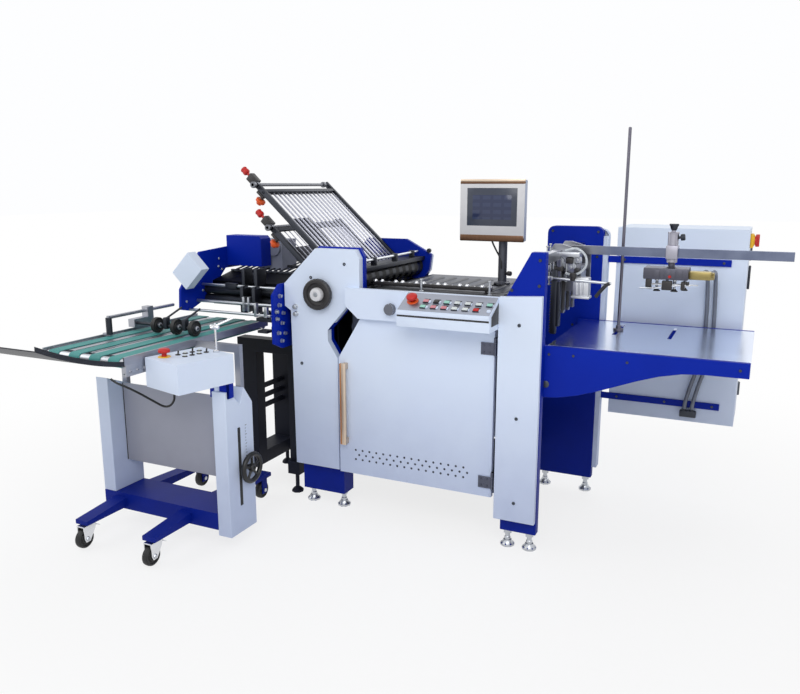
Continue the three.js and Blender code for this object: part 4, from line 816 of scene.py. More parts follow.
def block(low, high, edge):
    """A block between two corners, with rounded edges."""
    def add(shape):
        first, second = at(*low), at(*high)
        place = Matrix.Translation((first + second) / 2) @ Matrix.Diagonal((second - first).to_4d())
        verts = bmesh.ops.create_cube(shape, size=1.0, matrix=place)["verts"]
        round_over(shape, verts, edge)
    return add


guide_ribs = []
for rib in range(guide_rib_count):
    rib_x = deck_left + 30 + rib * guide_rib_pitch
    guide_ribs.append(block((rib_x, -252, deck_level - 2), (rib_x + 14, -226, deck_level + 3), 1))
new_piece(
    "side_guide", dark_steel, "black_metal",
    block((deck_left + 2, -314, deck_level - 4), (deck_right - 4, -252, deck_level + 7), 2),
    block((deck_left + 2, -226, deck_level - 4), (deck_right - 4, -196, deck_level + 6), 2),
    *guide_ribs,
)
band_rubber = moulded("black_band_rubber", shade(24, 25, 27), shade(42, 43, 46), 0.6, 0.0007, 0.2)
new_piece(
    "register_band", band_rubber, "rubber",
    block((deck_left + 4, -251, deck_level - 3), (deck_right - 6, -227, deck_level + 5.2), 1.5),
)

table_roller_curve = [
    (0, 0), (8, 0), (8, 4), (12.6, 5), (13.4, 6.5), (13.4, 384), (12.6, 385.5), (8, 386.5), (8, 390),
    (0, 390),
]
table_rollers = []
for index in range(table_roller_count):
    roller_x = deck_left + 40 + index * (deck_right - deck_left - 80) / (table_roller_count - 1)
    table_rollers.append(turned((roller_x, -184, deck_level - 7), backward, table_roller_curve, 28))
new_piece("table_rollers", dark_steel, "steel", *table_rollers)
guide_posts = []
for post_x, high in ((46, 56), (322, 62)):
    post_curve = [
        (0, 0), (9, 0), (9, 3), (4.4, 5), (4.4, high - 12), (7, high - 11), (7, high - 7),
        (0, high - 6.6),
    ]
    guide_posts.append(turned((post_x, -300, deck_level + 6.6), upward, post_curve, 20))
new_piece("side_guide_posts", zinc, "chrome", *guide_posts)

# The ball rail is a black plastic bar on two short posts over the band. It holds loose chromed steel
# balls in pairs, which press the sheet on to the band, and small screws between them.
ball_left = -192
ball_right = 312
ball_middle = -240
ball_low = 964
ball_pairs = 6
ball_inset = 24
ball_radius = 8.2
pair_half = 15
pair_pitch = (ball_right - ball_left - 2 * ball_inset) / (ball_pairs - 1)
chrome = metal("polished_chrome", shade(206, 208, 212), shade(232, 233, 236), 0.08)
rail_post_curve = [(0, 0), (7, 0), (7, 3), (5.4, 4), (5.4, 9), (0, 9)]
ball_collar = [(9.6, -1), (10.8, -0.5), (10.8, 1.4), (9.6, 1.8), (9.2, -1)]


def ball(place, radius):
    """A whole ball round a place, in millimetres."""
    def add(shape):
        spot = Matrix.Translation(at(*place))
        size = radius / 1000
        bmesh.ops.create_uvsphere(shape, u_segments=20, v_segments=12, radius=size, matrix=spot)
    return add


new_piece(
    "ball_rail_dressed", black_plastic, "black_metal",
    block((ball_left, ball_middle - 8, ball_low), (ball_right, ball_middle + 8, ball_low + 15), 2),
    block(
        (ball_left + 6, ball_middle - 8.6, ball_low + 5),
        (ball_right - 6, ball_middle + 8.6, ball_low + 9), 0.5,
    ),
    *(
        turned((post_x, ball_middle, deck_level + 5.5), upward, rail_post_curve, 20)
        for post_x in (ball_left + ball_inset, ball_right - ball_inset)
    ),
    stands_for="ball_rail",
)
balls = []
for pair in range(ball_pairs):
    for offset in (-pair_half, pair_half):
        ball_x = ball_left + ball_inset + pair * pair_pitch + offset
        balls.append(ball((ball_x, ball_middle, ball_low + 15.5), ball_radius))
        balls.append(turned((ball_x, ball_middle, ball_low + 15), upward, ball_collar, 20))
    if pair + 1 < ball_pairs:
        screw_x = ball_left + ball_inset + (pair + 0.5) * pair_pitch
        balls.append(screw((screw_x, ball_middle, ball_low + 14.6), upward, 3.4, 2))
new_piece("register_balls", chrome, "chrome", *balls)

# The white upper panel closes the machine under the table. The operator's box is welded to it: a skirt,
# an overhanging aluminium desk, a red mushroom stop and two rows of lit push buttons.
softened("upper_front_panel", white_paint, 2.5)
desk_slope = radians(27.57)
desk_left = 22
desk_right = 383.7
desk_front = -475
desk_lip = 908
desk_off = Vector((0, -sin(desk_slope), cos(desk_slope)))
desk_metal = metal(
    "brushed_desk_aluminium", shade(150, 155, 168), shade(182, 186, 198), 0.34, (0.05, 1, 1), 0.0014,
)


def on_desk(x, up, off):
    """A place on the sloping desk: along it, up the slope from the lip, and off its face."""
    y = desk_front + up * cos(desk_slope) - off * sin(desk_slope)
    return (x, y, desk_lip + up * sin(desk_slope) + off * cos(desk_slope))


def desk_plate(xs, ups, off, depth, edge):
    """A rounded plate that lies flat on the desk."""
    left, right = xs
    low, high = ups
    corners = [(left, low), (right, low), (right, high), (left, high)]
    return plate([on_desk(*corner, off) for corner in corners], desk_off * depth, edge)


new_piece(
    "operator_desk", desk_metal, "steel",
    desk_plate((desk_left + 3, desk_right - 3), (2, 112), 0, 2.2, 0.7),
)
new_piece(
    "desk_lip", white_paint, "white_panel",
    block(
        (desk_left - 1, desk_front - 5, desk_lip - 16), (desk_right - 0.5, desk_front + 4, desk_lip + 2), 2,
    ),
)
# The box's end is a blue side plate, coloured black here as painted shade on that end.
end_outline = [(-456, 868), (-456, 903), (-377, 944), (-377, 868)]
new_piece(
    "desk_end_shade_plate", black_plastic, "black_metal",
    plate([(desk_right + 0.1, y, z) for y, z in end_outline], (1.2, 0, 0), 0.3),
)
# A black strip under the lip is painted shadow, cast by the overhanging desk on the skirt.
new_piece(
    "desk_lip_shadow", black_plastic, "black_metal",
    block(
        (desk_left + 2, desk_front - 1.2, desk_lip - 23), (desk_right - 3, desk_front + 4, desk_lip - 15),
        0.5,
    ),
)

cap_white = moulded("white_button_cap", shade(214, 222, 222), shade(232, 238, 238), 0.22)
cap_green = moulded("green_button_cap", shade(140, 206, 190), shade(176, 226, 212), 0.22)
cap_rose = moulded("rose_button_cap", shade(206, 120, 132), shade(226, 156, 164), 0.22)
button_looks = [
    [cap_green, cap_rose, cap_rose, cap_white, cap_white, red_plastic],
    [cap_rose, black_plastic, cap_green, cap_white, cap_white, cap_white, cap_green],
]


def button_plate(x, up, half_wide, half_tall, depth, edge):
    """A small plate on the desk with its middle at a place along it and up its slope."""
    return desk_plate((x - half_wide, x + half_wide), (up - half_tall, up + half_tall), 2, depth, edge)


bezels = []
labels = []
for row, looks in enumerate(button_looks):
    for column, cap_finish in enumerate(looks):
        button_x = desk_left + 98 + column * 41
        button_up = 26 + row * 34
        bezels.append(button_plate(button_x, button_up, 12, 9, 4.4, 1.4))
        labels.append(button_plate(button_x, button_up + 16, 12, 2.4, 0.8, 0.3))
        new_piece(
            "desk_button_%d_%d" % (row + 1, column + 1), cap_finish, "red_plastic",
            button_plate(button_x, button_up, 10.4, 7.2, 7.4, 1.8),
        )
new_piece("button_bezels", dark_steel, "chrome", *bezels)
new_piece("button_label_plates", black_plastic, "black_metal", *labels)

# The mushroom stop stands on an orange collar: a waisted neck and a wide rolled head, moulded in red
# plastic. The grey setting knob beside the box has eight grip lobes round its rim.
stop_x = 66
stop_up = 58
stop_collar = [(11, 0), (22, 0), (22.4, 2), (21, 3.4), (11, 3.6), (11, 0)]
stop_curve = [
    (0, -3), (8.8, -3), (8.8, 14), (13, 15), (19.6, 17), (21, 19.4), (21, 23), (19.6, 27), (16, 30),
    (10, 31.6), (0, 32),
]
new_piece(
    "machine_stop_collar", orange_plastic, "red_plastic",
    turned(on_desk(stop_x, stop_up, 2), desk_off, stop_collar, 32),
)
new_piece(
    "emergency_stop_dressed", red_plastic, "red_plastic",
    turned(on_desk(stop_x, stop_up, 0), desk_off, stop_curve, 36),
    body="machine_stop", stands_for="emergency_stop",
)
setting_knob = (-51, -371.6, 891)
setting_curve = [(0, 0), (22, 0), (22.6, 2), (22.6, 17), (20, 21), (9, 22.4), (0, 22.4)]
lobe_curve = [(0, 3), (4, 3), (4.2, 5), (4.2, 15), (3, 17), (0, 17.4)]
grey_plastic = moulded("grey_knob_plastic", shade(84, 87, 96), shade(120, 123, 132), 0.4)
new_piece(
    "panel_knob", grey_plastic, "black_metal",
    turned(setting_knob, frontward, setting_curve, 32),
    *(turned(spot, frontward, lobe_curve, 12) for spot in around(8, 19.4, *setting_knob)),
)

# The door of the machine compartment is a folded sheet pan. It hangs on two dark chromed lift-off hinges
# at its right edge and breathes through three rows of drilled holes. Its pull is a champagne coloured
# anodised strip on two blocks, with a copper coloured flank.
softened("door", white_paint, 1.5)
hinge_x = 368
hinge_y = -352
hinge_high = 48
hinge_levels = (218, 742)
knuckle_curve = [
    (0, 0), (5.6, 0), (6.6, 1), (6.6, 15), (5.9, 16), (6.6, 17), (6.6, 31), (5.9, 32), (6.6, 33),
    (6.6, 47), (5.6, 48), (0, 48),
]
sleeve_curve = [(0, 0), (6.6, 0), (6.6, 18), (5.4, 20), (0, 20)]
dark_chrome = metal("dark_chrome_hinge", shade(58, 61, 76), shade(112, 115, 130), 0.2)
leaves = []
for hinge_z in hinge_levels:
    leaf_low = (310, cover_face - 4.6, hinge_z)
    leaves.append(block(leaf_low, (hinge_x - 5, cover_face + 0.5, hinge_z + hinge_high), 1.4))
    leaves.append(turned((hinge_x, hinge_y, hinge_z), upward, knuckle_curve, 24))
    for screw_x in (322, 346):
        for screw_z in (hinge_z + 10, hinge_z + 38):
            leaves.append(screw((screw_x, cover_face - 4.4, screw_z), frontward, 4.2, 2))
new_piece("door_hinge_leaves", dark_chrome, "chrome", *leaves, body="door")
pin_places = [(hinge_x, hinge_y, hinge_z + hinge_high + 0.3) for hinge_z in hinge_levels]
new_piece(
    "door_hinge_pins", dark_chrome, "chrome",
    *(turned(place, upward, sleeve_curve, 24) for place in pin_places),
)

copper = metal(
    "copper_anodised_strip", shade(168, 106, 62), shade(206, 148, 98), 0.3, (1, 1, 0.05), 0.0012,
)
champagne = metal(
    "champagne_anodised_strip", shade(204, 182, 158), shade(232, 214, 194), 0.3, (1, 1, 0.05), 0.0012,
)
new_piece(
    "door_handle_dressed", champagne, "copper_strip",
    block((-277, cover_face - 30.3, 310), (-255, cover_face - 18.3, 656), 4),
    *(
        block((-275, cover_face - 20, low), (-257, cover_face - 0.3, low + 26), 2)
        for low in (312, 628)
    ),
    body="door", stands_for="door_handle",
)
new_piece(
    "door_handle_flank", copper, "copper_strip",
    block((-281, cover_face - 31, 312), (-275.5, cover_face - 17.5, 654), 1), body="door",
)

vent_rows = 3
vent_columns = 16
vent_pitch = 31.6
vent_radius = 4.6
# The holes are flat discs in a near-black finish: painted shade for the dark inside the door.
painted_inside_shade = moulded("shadow_inside", shade(44, 48, 60), shade(66, 70, 84), 0.7)


def vent_holes(shape):
    """Flat discs in staggered rows, in the painted shade seen inside the holes."""
    turn = Matrix.Rotation(pi / 2, 4, "X")
    for row in range(vent_rows):
        for column in range(vent_columns):
            vent_x = -226 + column * vent_pitch + (row % 2) * vent_pitch / 2
            place = Matrix.Translation(at(vent_x, cover_face - 0.25, 286 - row * 20)) @ turn
            size = vent_radius / 1000
            bmesh.ops.create_circle(shape, cap_ends=True, segments=18, radius=size, matrix=place)
    thickened(shape, list(shape.faces), (0, 0.6, 0))


new_piece("door_vent_holes", painted_inside_shade, "black_metal", vent_holes, body="door")

# Behind the door the compartment lies in shade. A drive motor with two grooved belt pulleys, coloured with
# the same painted shade as the vent holes, shows through the corner window between the door and the fold
# unit's cover.
pulley_wide = 34


def pulley(radius, groove):
    """The profile of a belt pulley with a groove, the same from both sides."""
    rim = [(radius - 4, 0), (radius, 3), (radius, 8), (groove, 12)]
    far_rim = [(rim_radius, pulley_wide - reach) for rim_radius, reach in reversed(rim)]
    return [(0, 0)] + rim + far_rim + [(0, pulley_wide)]


new_piece(
    "compartment_drive", painted_inside_shade, "black_metal",
    block((-290, -250, 640), (-60, -120, 900), 6),
    turned((-225, -285, 790), backward, pulley(48, 42), 36),
    turned((-150, -285, 700), backward, pulley(28, 23), 28),
)

# Over the fold rollers lies a cover of blackened sheet with a folded lip. Three holders on it carry a
# plated bar from side to side, and a small black knob sits at the far side frame.
cover_knob = [(0, 0), (9, 0), (10, 2), (10, 14), (8, 16), (0, 16)]
new_piece(
    "roller_cover", dark_steel, "black_metal",
    block((-290, -293, 1031), (-198, 293, 1035), 1),
    block((-200, -293, 1019), (-196, 293, 1035), 1),
    *(block((-242, y, 1034), (-218, y + 16, 1066), 2) for y in (-170, 30, 210)),
    turned((-172, 293.6, 1062), frontward, cover_knob, 24),
)
new_piece(
    "roller_cover_bar", zinc, "steel", turned((-230, -284, 1056), backward, rod(6, 568, 1), 20),
)

# The drive guard is thin sheet, bent to two upright sides and a top, and coloured near black as painted
# shade for the dark seen through the side frames' windows. It lies under the fold rollers and spans the
# fold unit from one side frame to the other.
painted_shade_black = metal("painted_shade_sheet", shade(16, 17, 20), shade(34, 36, 42), 0.5)
new_piece(
    "drive_guard", painted_shade_black, "black_metal",
    block((-335, -292, 480), (-330, 292, 868), 1),
    block((-500, -292, 864), (-330, 292, 869), 1),
    block((-505, -292, 480), (-500, 292, 869), 1),
)

# The display stands on a round post on the table: a light grey moulded case with a bronze strip at its
# lower edge, a bronze and a champagne one at its top, and a dark screen in a dark bezel. A short black
# cable drops from it to the post.
case_grey = moulded("light_grey_case", shade(170, 181, 206), shade(186, 197, 220), 0.42, 0.0008, 0.06)
bronze = metal(
    "bronze_anodised_strip", shade(84, 60, 46), shade(128, 98, 78), 0.34, (1, 1, 0.05), 0.0012,
)
glass_black = moulded("smoked_screen_glass", shade(52, 58, 72), shade(66, 73, 90), 0.12, 0.01, 0.0)
screen_left = 86
screen_right = 358
screen_low = 1134
screen_high = 1382
bezel_left = screen_left + 30
bezel_right = screen_right - 30
bezel_low = screen_low + 62
bezel_high = screen_high - 34
new_piece(
    "display_case_dressed", case_grey, "grey_part",
    block((screen_left, 4, screen_low + 2), (screen_right, 40, screen_high - 2), 5),
    block((236, 35, 1184), (268, 88, 1216), 4),
    body="display", stands_for="display_case",
)
face_corners = [
    (screen_left, 4.2, screen_low + 16), (screen_right, 4.2, screen_low + 16),
    (screen_right, 4.2, screen_high - 16), (screen_left, 4.2, screen_high - 16),
]
new_piece(
    "display_face", white_hub, "white_panel", plate(face_corners, (0, -3.4, 0), 1.2), body="display",
)
new_piece(
    "display_strips", bronze, "copper_strip",
    block((screen_left, 0, screen_low), (screen_right, 12, screen_low + 28), 4),
    block((screen_left, 0, screen_high - 19), (screen_right, 12, screen_high - 9), 2),
    body="display",
)
new_piece(
    "display_top_edge", champagne, "copper_strip",
    block((screen_left, 0, screen_high - 10), (screen_right, 12, screen_high), 3), body="display",
)
new_piece(
    "display_bezel", glass_black, "black_metal",
    block((bezel_left, 0.2, bezel_low), (bezel_right, 6, bezel_high), 2), body="display",
)


def screen_finish():
    """A dim screen: a dark blue-grey field with slightly paler fields that show no words."""
    finish = Finish("lit_screen_panel")
    across = (finish.part("X") - at(bezel_left + 16, 0, 0).x) / 0.18
    up = (finish.part("Z") - at(0, 0, bezel_low + 14).z) / 0.142
    cell_x = finish.math("FRACT", across * 4)
    cell_z = finish.math("FRACT", up * 5)
    inside = (cell_x > 0.14) * (cell_x < 0.86) * (cell_z > 0.24) * (cell_z < 0.76)
    header = up > 0.8
    fields = inside * (1 - header)
    field = finish.mix(header, shade(40, 48, 76), shade(34, 42, 70))
    finish.set(Base_Color=finish.mix(fields * 0.3, field, shade(64, 74, 104)), Roughness=0.1)
    finish.set(Emission_Color=finish.mix(fields * 0.3, shade(40, 48, 76), shade(60, 70, 100)))
    finish.shader.inputs["Emission Strength"].default_value = 0.25
    return finish


new_piece(
    "display_panel", screen_finish(), "black_metal",
    block((bezel_left + 24, 0.1, bezel_low + 26), (bezel_right - 24, 5, bezel_high - 28), 0.6),
    body="display",
)

post_x = 252
post_y = 70
post_curve = [
    (0, 0), (30, 0), (34, 1.5), (34, 7), (32, 8), (20, 9), (18, 12), (18, 216), (21, 217), (21, 228),
    (19, 229.5), (0, 229.5),
]
post_screws = [(post_x + 26 * cos(angle), post_y + 26 * sin(angle), 961.5) for angle in (0.6, 2.2, 3.8, 5.4)]
dark_post = metal("painted_post_steel", shade(74, 76, 84), shade(102, 104, 112), 0.4)
new_piece(
    "display_post_dressed", dark_post, "grey_part",
    turned((post_x, post_y, 954.3), upward, post_curve, 32),
    *(screw(place, upward, 4.4, 3) for place in post_screws),
    stands_for="display_post",
)
cable_black = moulded("black_cable_jacket", shade(22, 22, 24), shade(40, 40, 43), 0.5, 0.0006)
display_cable = [
    (211, 48, 1136), (212, 58, 1122), (225, 60, 1096), (241, 58, 1070), (252, 50, 1046), (254, 50, 1020),
]
new_piece(
    "display_cable", cable_black, "black_metal", tube(smooth_route(display_cable, 5), 3.6, 12),
    body="display", crease=40,
)
clamp_knob = [(0, -2), (4, -2), (4, 6), (9, 7), (10, 9), (10, 21), (8.6, 23), (0, 23.4)]
new_piece(
    "display_post_knob", black_plastic, "black_metal",
    turned((270, 66, 1000), (1, -0.25, 0), clamp_knob, 24),
)

# The feeder stands on two posts: 36 mm plate at the front and back, with white covers and feet of their
# own. The front post slopes up to the bridge; two bars on the rear one carry the electrical cabinet.
for node in ("feeder_post_front", "feeder_post_rear"):
    softened(node, blue_paint, 2.0)
for node in ("feeder_cover_front", "feeder_cover_rear"):
    softened(node, white_paint, 2.5)
feeder_foot_places = [(432, -340), (518, -340), (400, 340), (585, 340)]
new_piece("feeder_feet", zinc, "chrome", *levelling_feet(feeder_foot_places))
cover_screw_places = [(463, 868), (463, 190), (463, 520)]
bridge_screw_places = [(425, 990), (525, 1100), (525, 1010)]
rear_screw_places = [(395, 1165), (590, 1165), (590, 1060), (498, 900), (498, 760)]
new_piece(
    "feeder_post_screws", screw_steel, "black_metal",
    *(screw((x, -379.3, z), frontward, 6.5, 3.6) for x, z in cover_screw_places),
    *(screw((x, -357.6, z), frontward, 6, 3.6) for x, z in bridge_screw_places),
    *(screw((x, 322.4, z), frontward, 6, 3.6) for x, z in rear_screw_places),
)

# The feed head hangs on the bridge: milled steel with upright shafts and small driven wheels, sheet stops
# in front of the pile, a clear air hose, a paper guide rod with its lever, a milled block and a rack.
def head_finish():
    """Milled grey steel at the head, darker and bluer out along the drawn rail."""
    finish = Finish("milled_head_steel", 1.0)
    blotches = finish.grain(0.03, 3.0)
    along = finish.between(finish.part(0), at(600, 0, 0).x, at(720, 0, 0).x)
    milled = finish.mix(blotches, shade(118, 120, 128), shade(176, 178, 186))
    drawn = finish.mix(blotches, shade(88, 96, 120), shade(130, 138, 160))
    finish.set(Base_Color=finish.mix(along, milled, drawn), Roughness=0.26 + blotches * 0.08)
    finish.bump(finish.grain(0.0016, 1.0, (0.05, 1, 1)), 0.05, 0.0006)
    return finish


def blocks(edge, *corners):
    """Blocks that share their edge rounding."""
    return [block(low, high, edge) for low, high in corners]


def head_shaft(x, y, low, top):
    """An upright shaft with a foot collar and a cap."""
    high = top - low
    curve = [
        (0, 0), (5, 0), (5, 4), (3.4, 6), (3.4, high - 6), (6, high - 4), (6, high), (0, high),
    ]
    return turned((x, y, low), upward, curve, 16)


def head_wheel(x, z, radius):
    """A small driven wheel on the cheek plate, with a hub."""
    curve = [
        (0, 0), (radius - 2, 0), (radius, 2), (radius, 9), (radius - 3, 12), (radius * 0.4, 12),
        (radius * 0.36, 19), (0, 20),
    ]
    return turned((x, -92, z), frontward, curve, 28)


softened("feed_head", head_finish(), 1.0)
head_shafts = [
    (484, -104, 1008, 1132), (497, -112, 985, 1142), (514, -118, 1004, 1120), (560, -108, 1000, 1112),
    (585, -102, 1018, 1094),
]
head_wheels = [(500, 1062, 24), (540, 1078, 30), (575, 1056, 20), (600, 1084, 15)]
new_piece(
    "feed_head_shafts", zinc, "steel",
    *(head_shaft(*sizes) for sizes in head_shafts),
    *(head_wheel(*sizes) for sizes in head_wheels),
    block((478, -128, 1096), (612, -98, 1112), 2),
    block((486, -124, 1036), (506, -96, 1070), 3),
)
hose_stub = [(0, 0), (9, 0), (10, 2), (10, 12), (13, 14), (13, 26), (10, 29), (0, 30)]
new_piece(
    "feed_head_blocks", black_plastic, "black_metal",
    *blocks(
        2.5, ((476, -132, 1062), (500, -96, 1090)), ((520, -134, 1040), (552, -100, 1058)),
        ((560, -128, 1070), (586, -98, 1092)), ((518, -60, 880), (545, -34, 1002)),
        ((518, 20, 880), (545, 46, 1002)), ((590, -112, 1030), (610, -92, 1052)),
    ),
    turned((596, -152, 1010), upward, hose_stub, 24),
)
guide_rod_curve = [(0, 0), (4.6, 0), (5, 0.6), (5, 257), (4.6, 258), (0, 258)]
new_piece(
    "paper_guide_rod", zinc, "chrome",
    turned((478, -150, 1018), (1, 0, -0.045), guide_rod_curve, 20),
    block((504, -158, 1008), (520, -96, 1024), 2),
)
lever_route = [(730, -150, 1006), (720, -154, 1001), (698, -158, 975), (684, -160, 955)]
new_piece(
    "guide_lever_grip", cable_black, "black_metal", tube(smooth_route(lever_route, 4), 6.8, 14), crease=40,
)
block_alloy = metal("milled_aluminium", shade(186, 189, 194), shade(214, 216, 220), 0.36)
new_piece(
    "feed_head_block", block_alloy, "steel",
    block((596, -148, 952), (654, -104, 1022), 2.5),
    *(block((rib_x, -150.5, 958), (rib_x + 8, -146, 1004), 1) for rib_x in (606, 620, 634)),
    block((592, -152, 944), (658, -102, 953), 1.5),
)


def clear_tube_finish():
    """Clear plastic tube, slightly milky."""
    finish = Finish("clear_air_tube")
    cloud = finish.grain(0.006, 2.0)
    finish.set(Base_Color=finish.mix(cloud, shade(214, 222, 228), shade(234, 240, 244)))
    finish.set(Roughness=0.12 + cloud * 0.1)
    finish.set(Alpha=0.62 + cloud * 0.2)
    return finish


loop_route = [
    (560, -132, 1120), (604, -140, 1128), (636, -142, 1104), (640, -142, 1068), (618, -138, 1040),
    (588, -132, 1030), (562, -122, 1034),
]
new_piece(
    "feed_head_air_loop", clear_tube_finish(), "hose", tube(smooth_route(loop_route, 6), 4.6, 14), crease=40,
)
tooth_count = 22
tooth_pitch = 10.6
rack_teeth = []
for tooth in range(tooth_count):
    tooth_low = tooth * tooth_pitch
    rack_teeth.append(block((508, -138, 806 + tooth_low), (513, -118, 811 + tooth_low), 0.6))
new_piece(
    "feed_head_rack", dark_steel, "black_metal",
    block((512, -140, 800), (534, -116, 1046), 2), *rack_teeth, block((533, -136, 830), (546, -110, 1000), 2),
)

# The suction head picks up single sheets. Its grey air cylinder is clamped on the flat rail; below it
# hang the valve body, a brass fitting for the hoses, and spring legs with rubber cups.
rightward = (1, 0, 0)
head_x = 925
cylinder_curve = [
    (0, 0), (17, 0), (19, 2), (19, 50), (20, 51), (20, 55), (19, 56), (19, 106), (20, 107), (20, 111),
    (18, 112.4), (8, 112.6), (8, 120),
]
tie_angles = [pi / 4 + rib * pi / 2 for rib in range(4)]
tie_places = [(head_x + 18 * cos(angle), 18 * sin(angle), 1079) for angle in tie_angles]
cylinder_grey = metal("grey_cylinder_alloy", shade(146, 145, 156), shade(184, 183, 194), 0.34)
new_piece(
    "suction_carriage_dressed", cylinder_grey, "grey_part",
    turned((head_x, 0, 1078), upward, cylinder_curve, 32),
    *(turned(place, upward, rod(3.4, 110), 12) for place in tie_places),
    block((head_x - 21, -28, 1092), (head_x + 21, 21, 1142), 3),
    body="suction_unit", stands_for="suction_carriage",
)
top_knob = [(8, 0), (11, 4), (14, 14), (16.6, 19), (17, 22), (16, 24), (6, 24.4), (0, 24.6)]
side_knob = [(0, 0), (5, 0), (5, 8), (11, 9), (12, 11), (12, 22), (10.6, 24), (0, 24.4)]
new_piece(
    "suction_cylinder_knobs", dark_steel, "black_metal",
    turned((head_x, 0, 1196), upward, top_knob, 32),
    turned((head_x + 17, 0, 1170), (1, 0, 0.12), side_knob, 24),
    body="suction_unit",
)

valve_grey = metal("valve_body_steel", shade(70, 70, 80), shade(108, 108, 118), 0.36)
valve_neck = [(16, 0), (16, 3), (12, 5), (12, 20), (0, 20)]
new_piece(
    "suction_head_dressed", valve_grey, "steel",
    block((832, -45, 1018), (990, 45, 1060), 3),
    turned((head_x, 0, 1059), upward, valve_neck, 24),
    *(block((x, -47, 1024), (x + 24, -44, 1054), 1) for x in (866, 905, 945)),
    body="suction_unit", stands_for="suction_head",
)
brass = metal("cast_brass", shade(122, 108, 66), shade(176, 160, 108), 0.3)
end_nut = [(0, 0), (13, 0), (13, 8), (9, 10), (9, 16), (0, 16.6)]
hose_nut = [(0, 0), (12, 0), (12, 8), (10, 9), (10, 12), (0, 12)]
new_piece(
    "hose_fitting", brass, "copper_strip",
    block((989, -24, 1020), (1066, 22, 1050), 4),
    turned((1060, 0, 1035), rightward, end_nut, 6),
    block((1016, 20, 1017), (1075, 55, 1043), 4),
    *(turned((1045 + side, 44, 1030), backward, hose_nut, 6) for side in hose_sides),
    body="suction_unit",
)
spring_curve = [(0, 0), (4, 0), (4, 8)]
for coil in range(5):
    spring_curve += [(6.6, 9.5 + coil * 4), (5, 11.5 + coil * 4)]
spring_curve += [(4, 30), (7, 31), (7, 38), (0, 38)]
cup_curve = [(0, 3), (6, 2), (12.6, 0), (13, 1), (9, 5), (6.4, 8), (7, 9), (6, 10), (0, 10)]
leg_places = [(850 + leg * 31, -26 if leg % 2 else 22) for leg in range(5)]
new_piece(
    "suction_legs", zinc, "steel",
    *(turned((x, y, 982), upward, spring_curve, 18) for x, y in leg_places),
    block((846, -38, 996), (1000, -32, 1002), 1.5),
    block((850, 32, 990), (1020, 38, 996), 1.5),
    turned((870, -40, 984), (1, 0, 0.16), rod(3.4, 110), 12),
    turned((822, -42, 984), (1, 0, 0.02), rod(2.6, 62), 12),
    body="suction_unit",
)
new_piece(
    "suction_cups", band_rubber, "rubber",
    *(turned((x, y, 974), upward, cup_curve, 24) for x, y in leg_places),
    body="suction_unit",
)
new_piece(
    "suction_clips", black_plastic, "black_metal",
    *blocks(
        2.5, ((842, -46, 988), (862, -20, 1018)), ((900, -48, 980), (936, -26, 1014)),
        ((966, -46, 984), (980, -18, 1012)), ((982, -40, 1000), (994, -22, 1012)),
    ),
    body="suction_unit",
)
port_cap = [(0, 0), (5.4, 0), (5.6, 2), (4.4, 4.6), (0, 5)]
new_piece(
    "suction_port_cap", red_plastic, "red_plastic", turned((926, -45, 1030), frontward, port_cap, 20),
    body="suction_unit",
)
coupling_x = 998
coupling_nut = [(0, 0), (9.6, 0), (9.6, 8), (8.6, 9), (0, 9)]
new_piece(
    "hose_coupling", dark_steel, "black_metal",
    block((coupling_x - 33, 330.6, 398), (coupling_x + 33, 349.6, 426), 3),
    *(turned((coupling_x + side, 340, 424), upward, coupling_nut, 6) for side in hose_sides),
    stands_for="hose_pair",
)

# The pile table is a bent sheet of stainless steel on two flame cut arms. It has two guide slots, and a
# steel rod stands in one of them to mark the back of the pile.
stainless = metal(
    "stainless_sheet", shade(206, 215, 236), shade(230, 238, 253), 0.13, (0.06, 1, 1), 0.0013, 0.03,
)
softened("pile_table", stainless, 1.5)
softened("pile_arm_front", blue_paint, 2.0)
softened("pile_arm_rear", blue_paint, 2.0)
arm_screw_places = [(560, 760), (648, 762), (835, 756), (1195, 764)]
arm_cap = [(0, 0), (13, 0), (13, 2), (11, 3), (0, 3)]
new_piece(
    "pile_arm_screws", screw_steel, "black_metal",
    *(screw((x, -321.4, z), frontward, 5, 2.4) for x, z in arm_screw_places),
    turned((552, -321.4, 648), frontward, arm_cap, 28),
    body="pile",
)
pile_rod_curve = [
    (0, -8), (6, -8), (6, 0.6), (18, 0.6), (20, 2), (20, 7), (18, 8.6), (10, 9), (10, 20), (9, 21),
    (6, 21.4), (6, 782), (4, 784), (0, 784),
]
ground_rod = metal("ground_guide_rod", shade(84, 82, 94), shade(130, 128, 140), 0.24)
new_piece(
    "pile_rod_dressed", ground_rod, "steel", turned((731, 100, 790), upward, pile_rod_curve, 28),
    body="rod", stands_for="pile_rod",
)

# The electrical cabinet hangs behind the feeder on the two bars. It is a folded white box with a door at
# the back on two hinges, and the isolator on its end wall has a yellow plate and a red lever.
softened("cabinet_shell", white_paint, 3.0)
softened("cabinet_door", white_paint, 2.0)
cabinet_hinge = [(0, 0), (7, 0), (8.4, 1.4), (8.4, 59), (7, 60.4), (0, 60.4)]
cabinet_screws = [(x, z) for z in (1050, 450) for x in (700, 900, 1090)]
new_piece(
    "cabinet_fittings", screw_steel, "black_metal",
    *(turned((1177, 647.6, z - 0.2), upward, cabinet_hinge, 24) for z in (440, 1040)),
    *(screw((x, 350.4, z), frontward, 5.4, 3) for x, z in cabinet_screws),
)
new_piece(
    "cabinet_end_strap", dark_steel, "black_metal",
    block((1177.2, 588, 922), (1187, 612, 1022), 2.5), crease=40,
)
switch_y = 430
switch_z = 1140
switch_ring = [(0, 0), (23, 0), (23, 3), (20, 4.4), (0, 4.4)]
switch_boss = [(0, 0), (16, 0), (17, 3), (17, 10), (14, 14), (0, 14)]
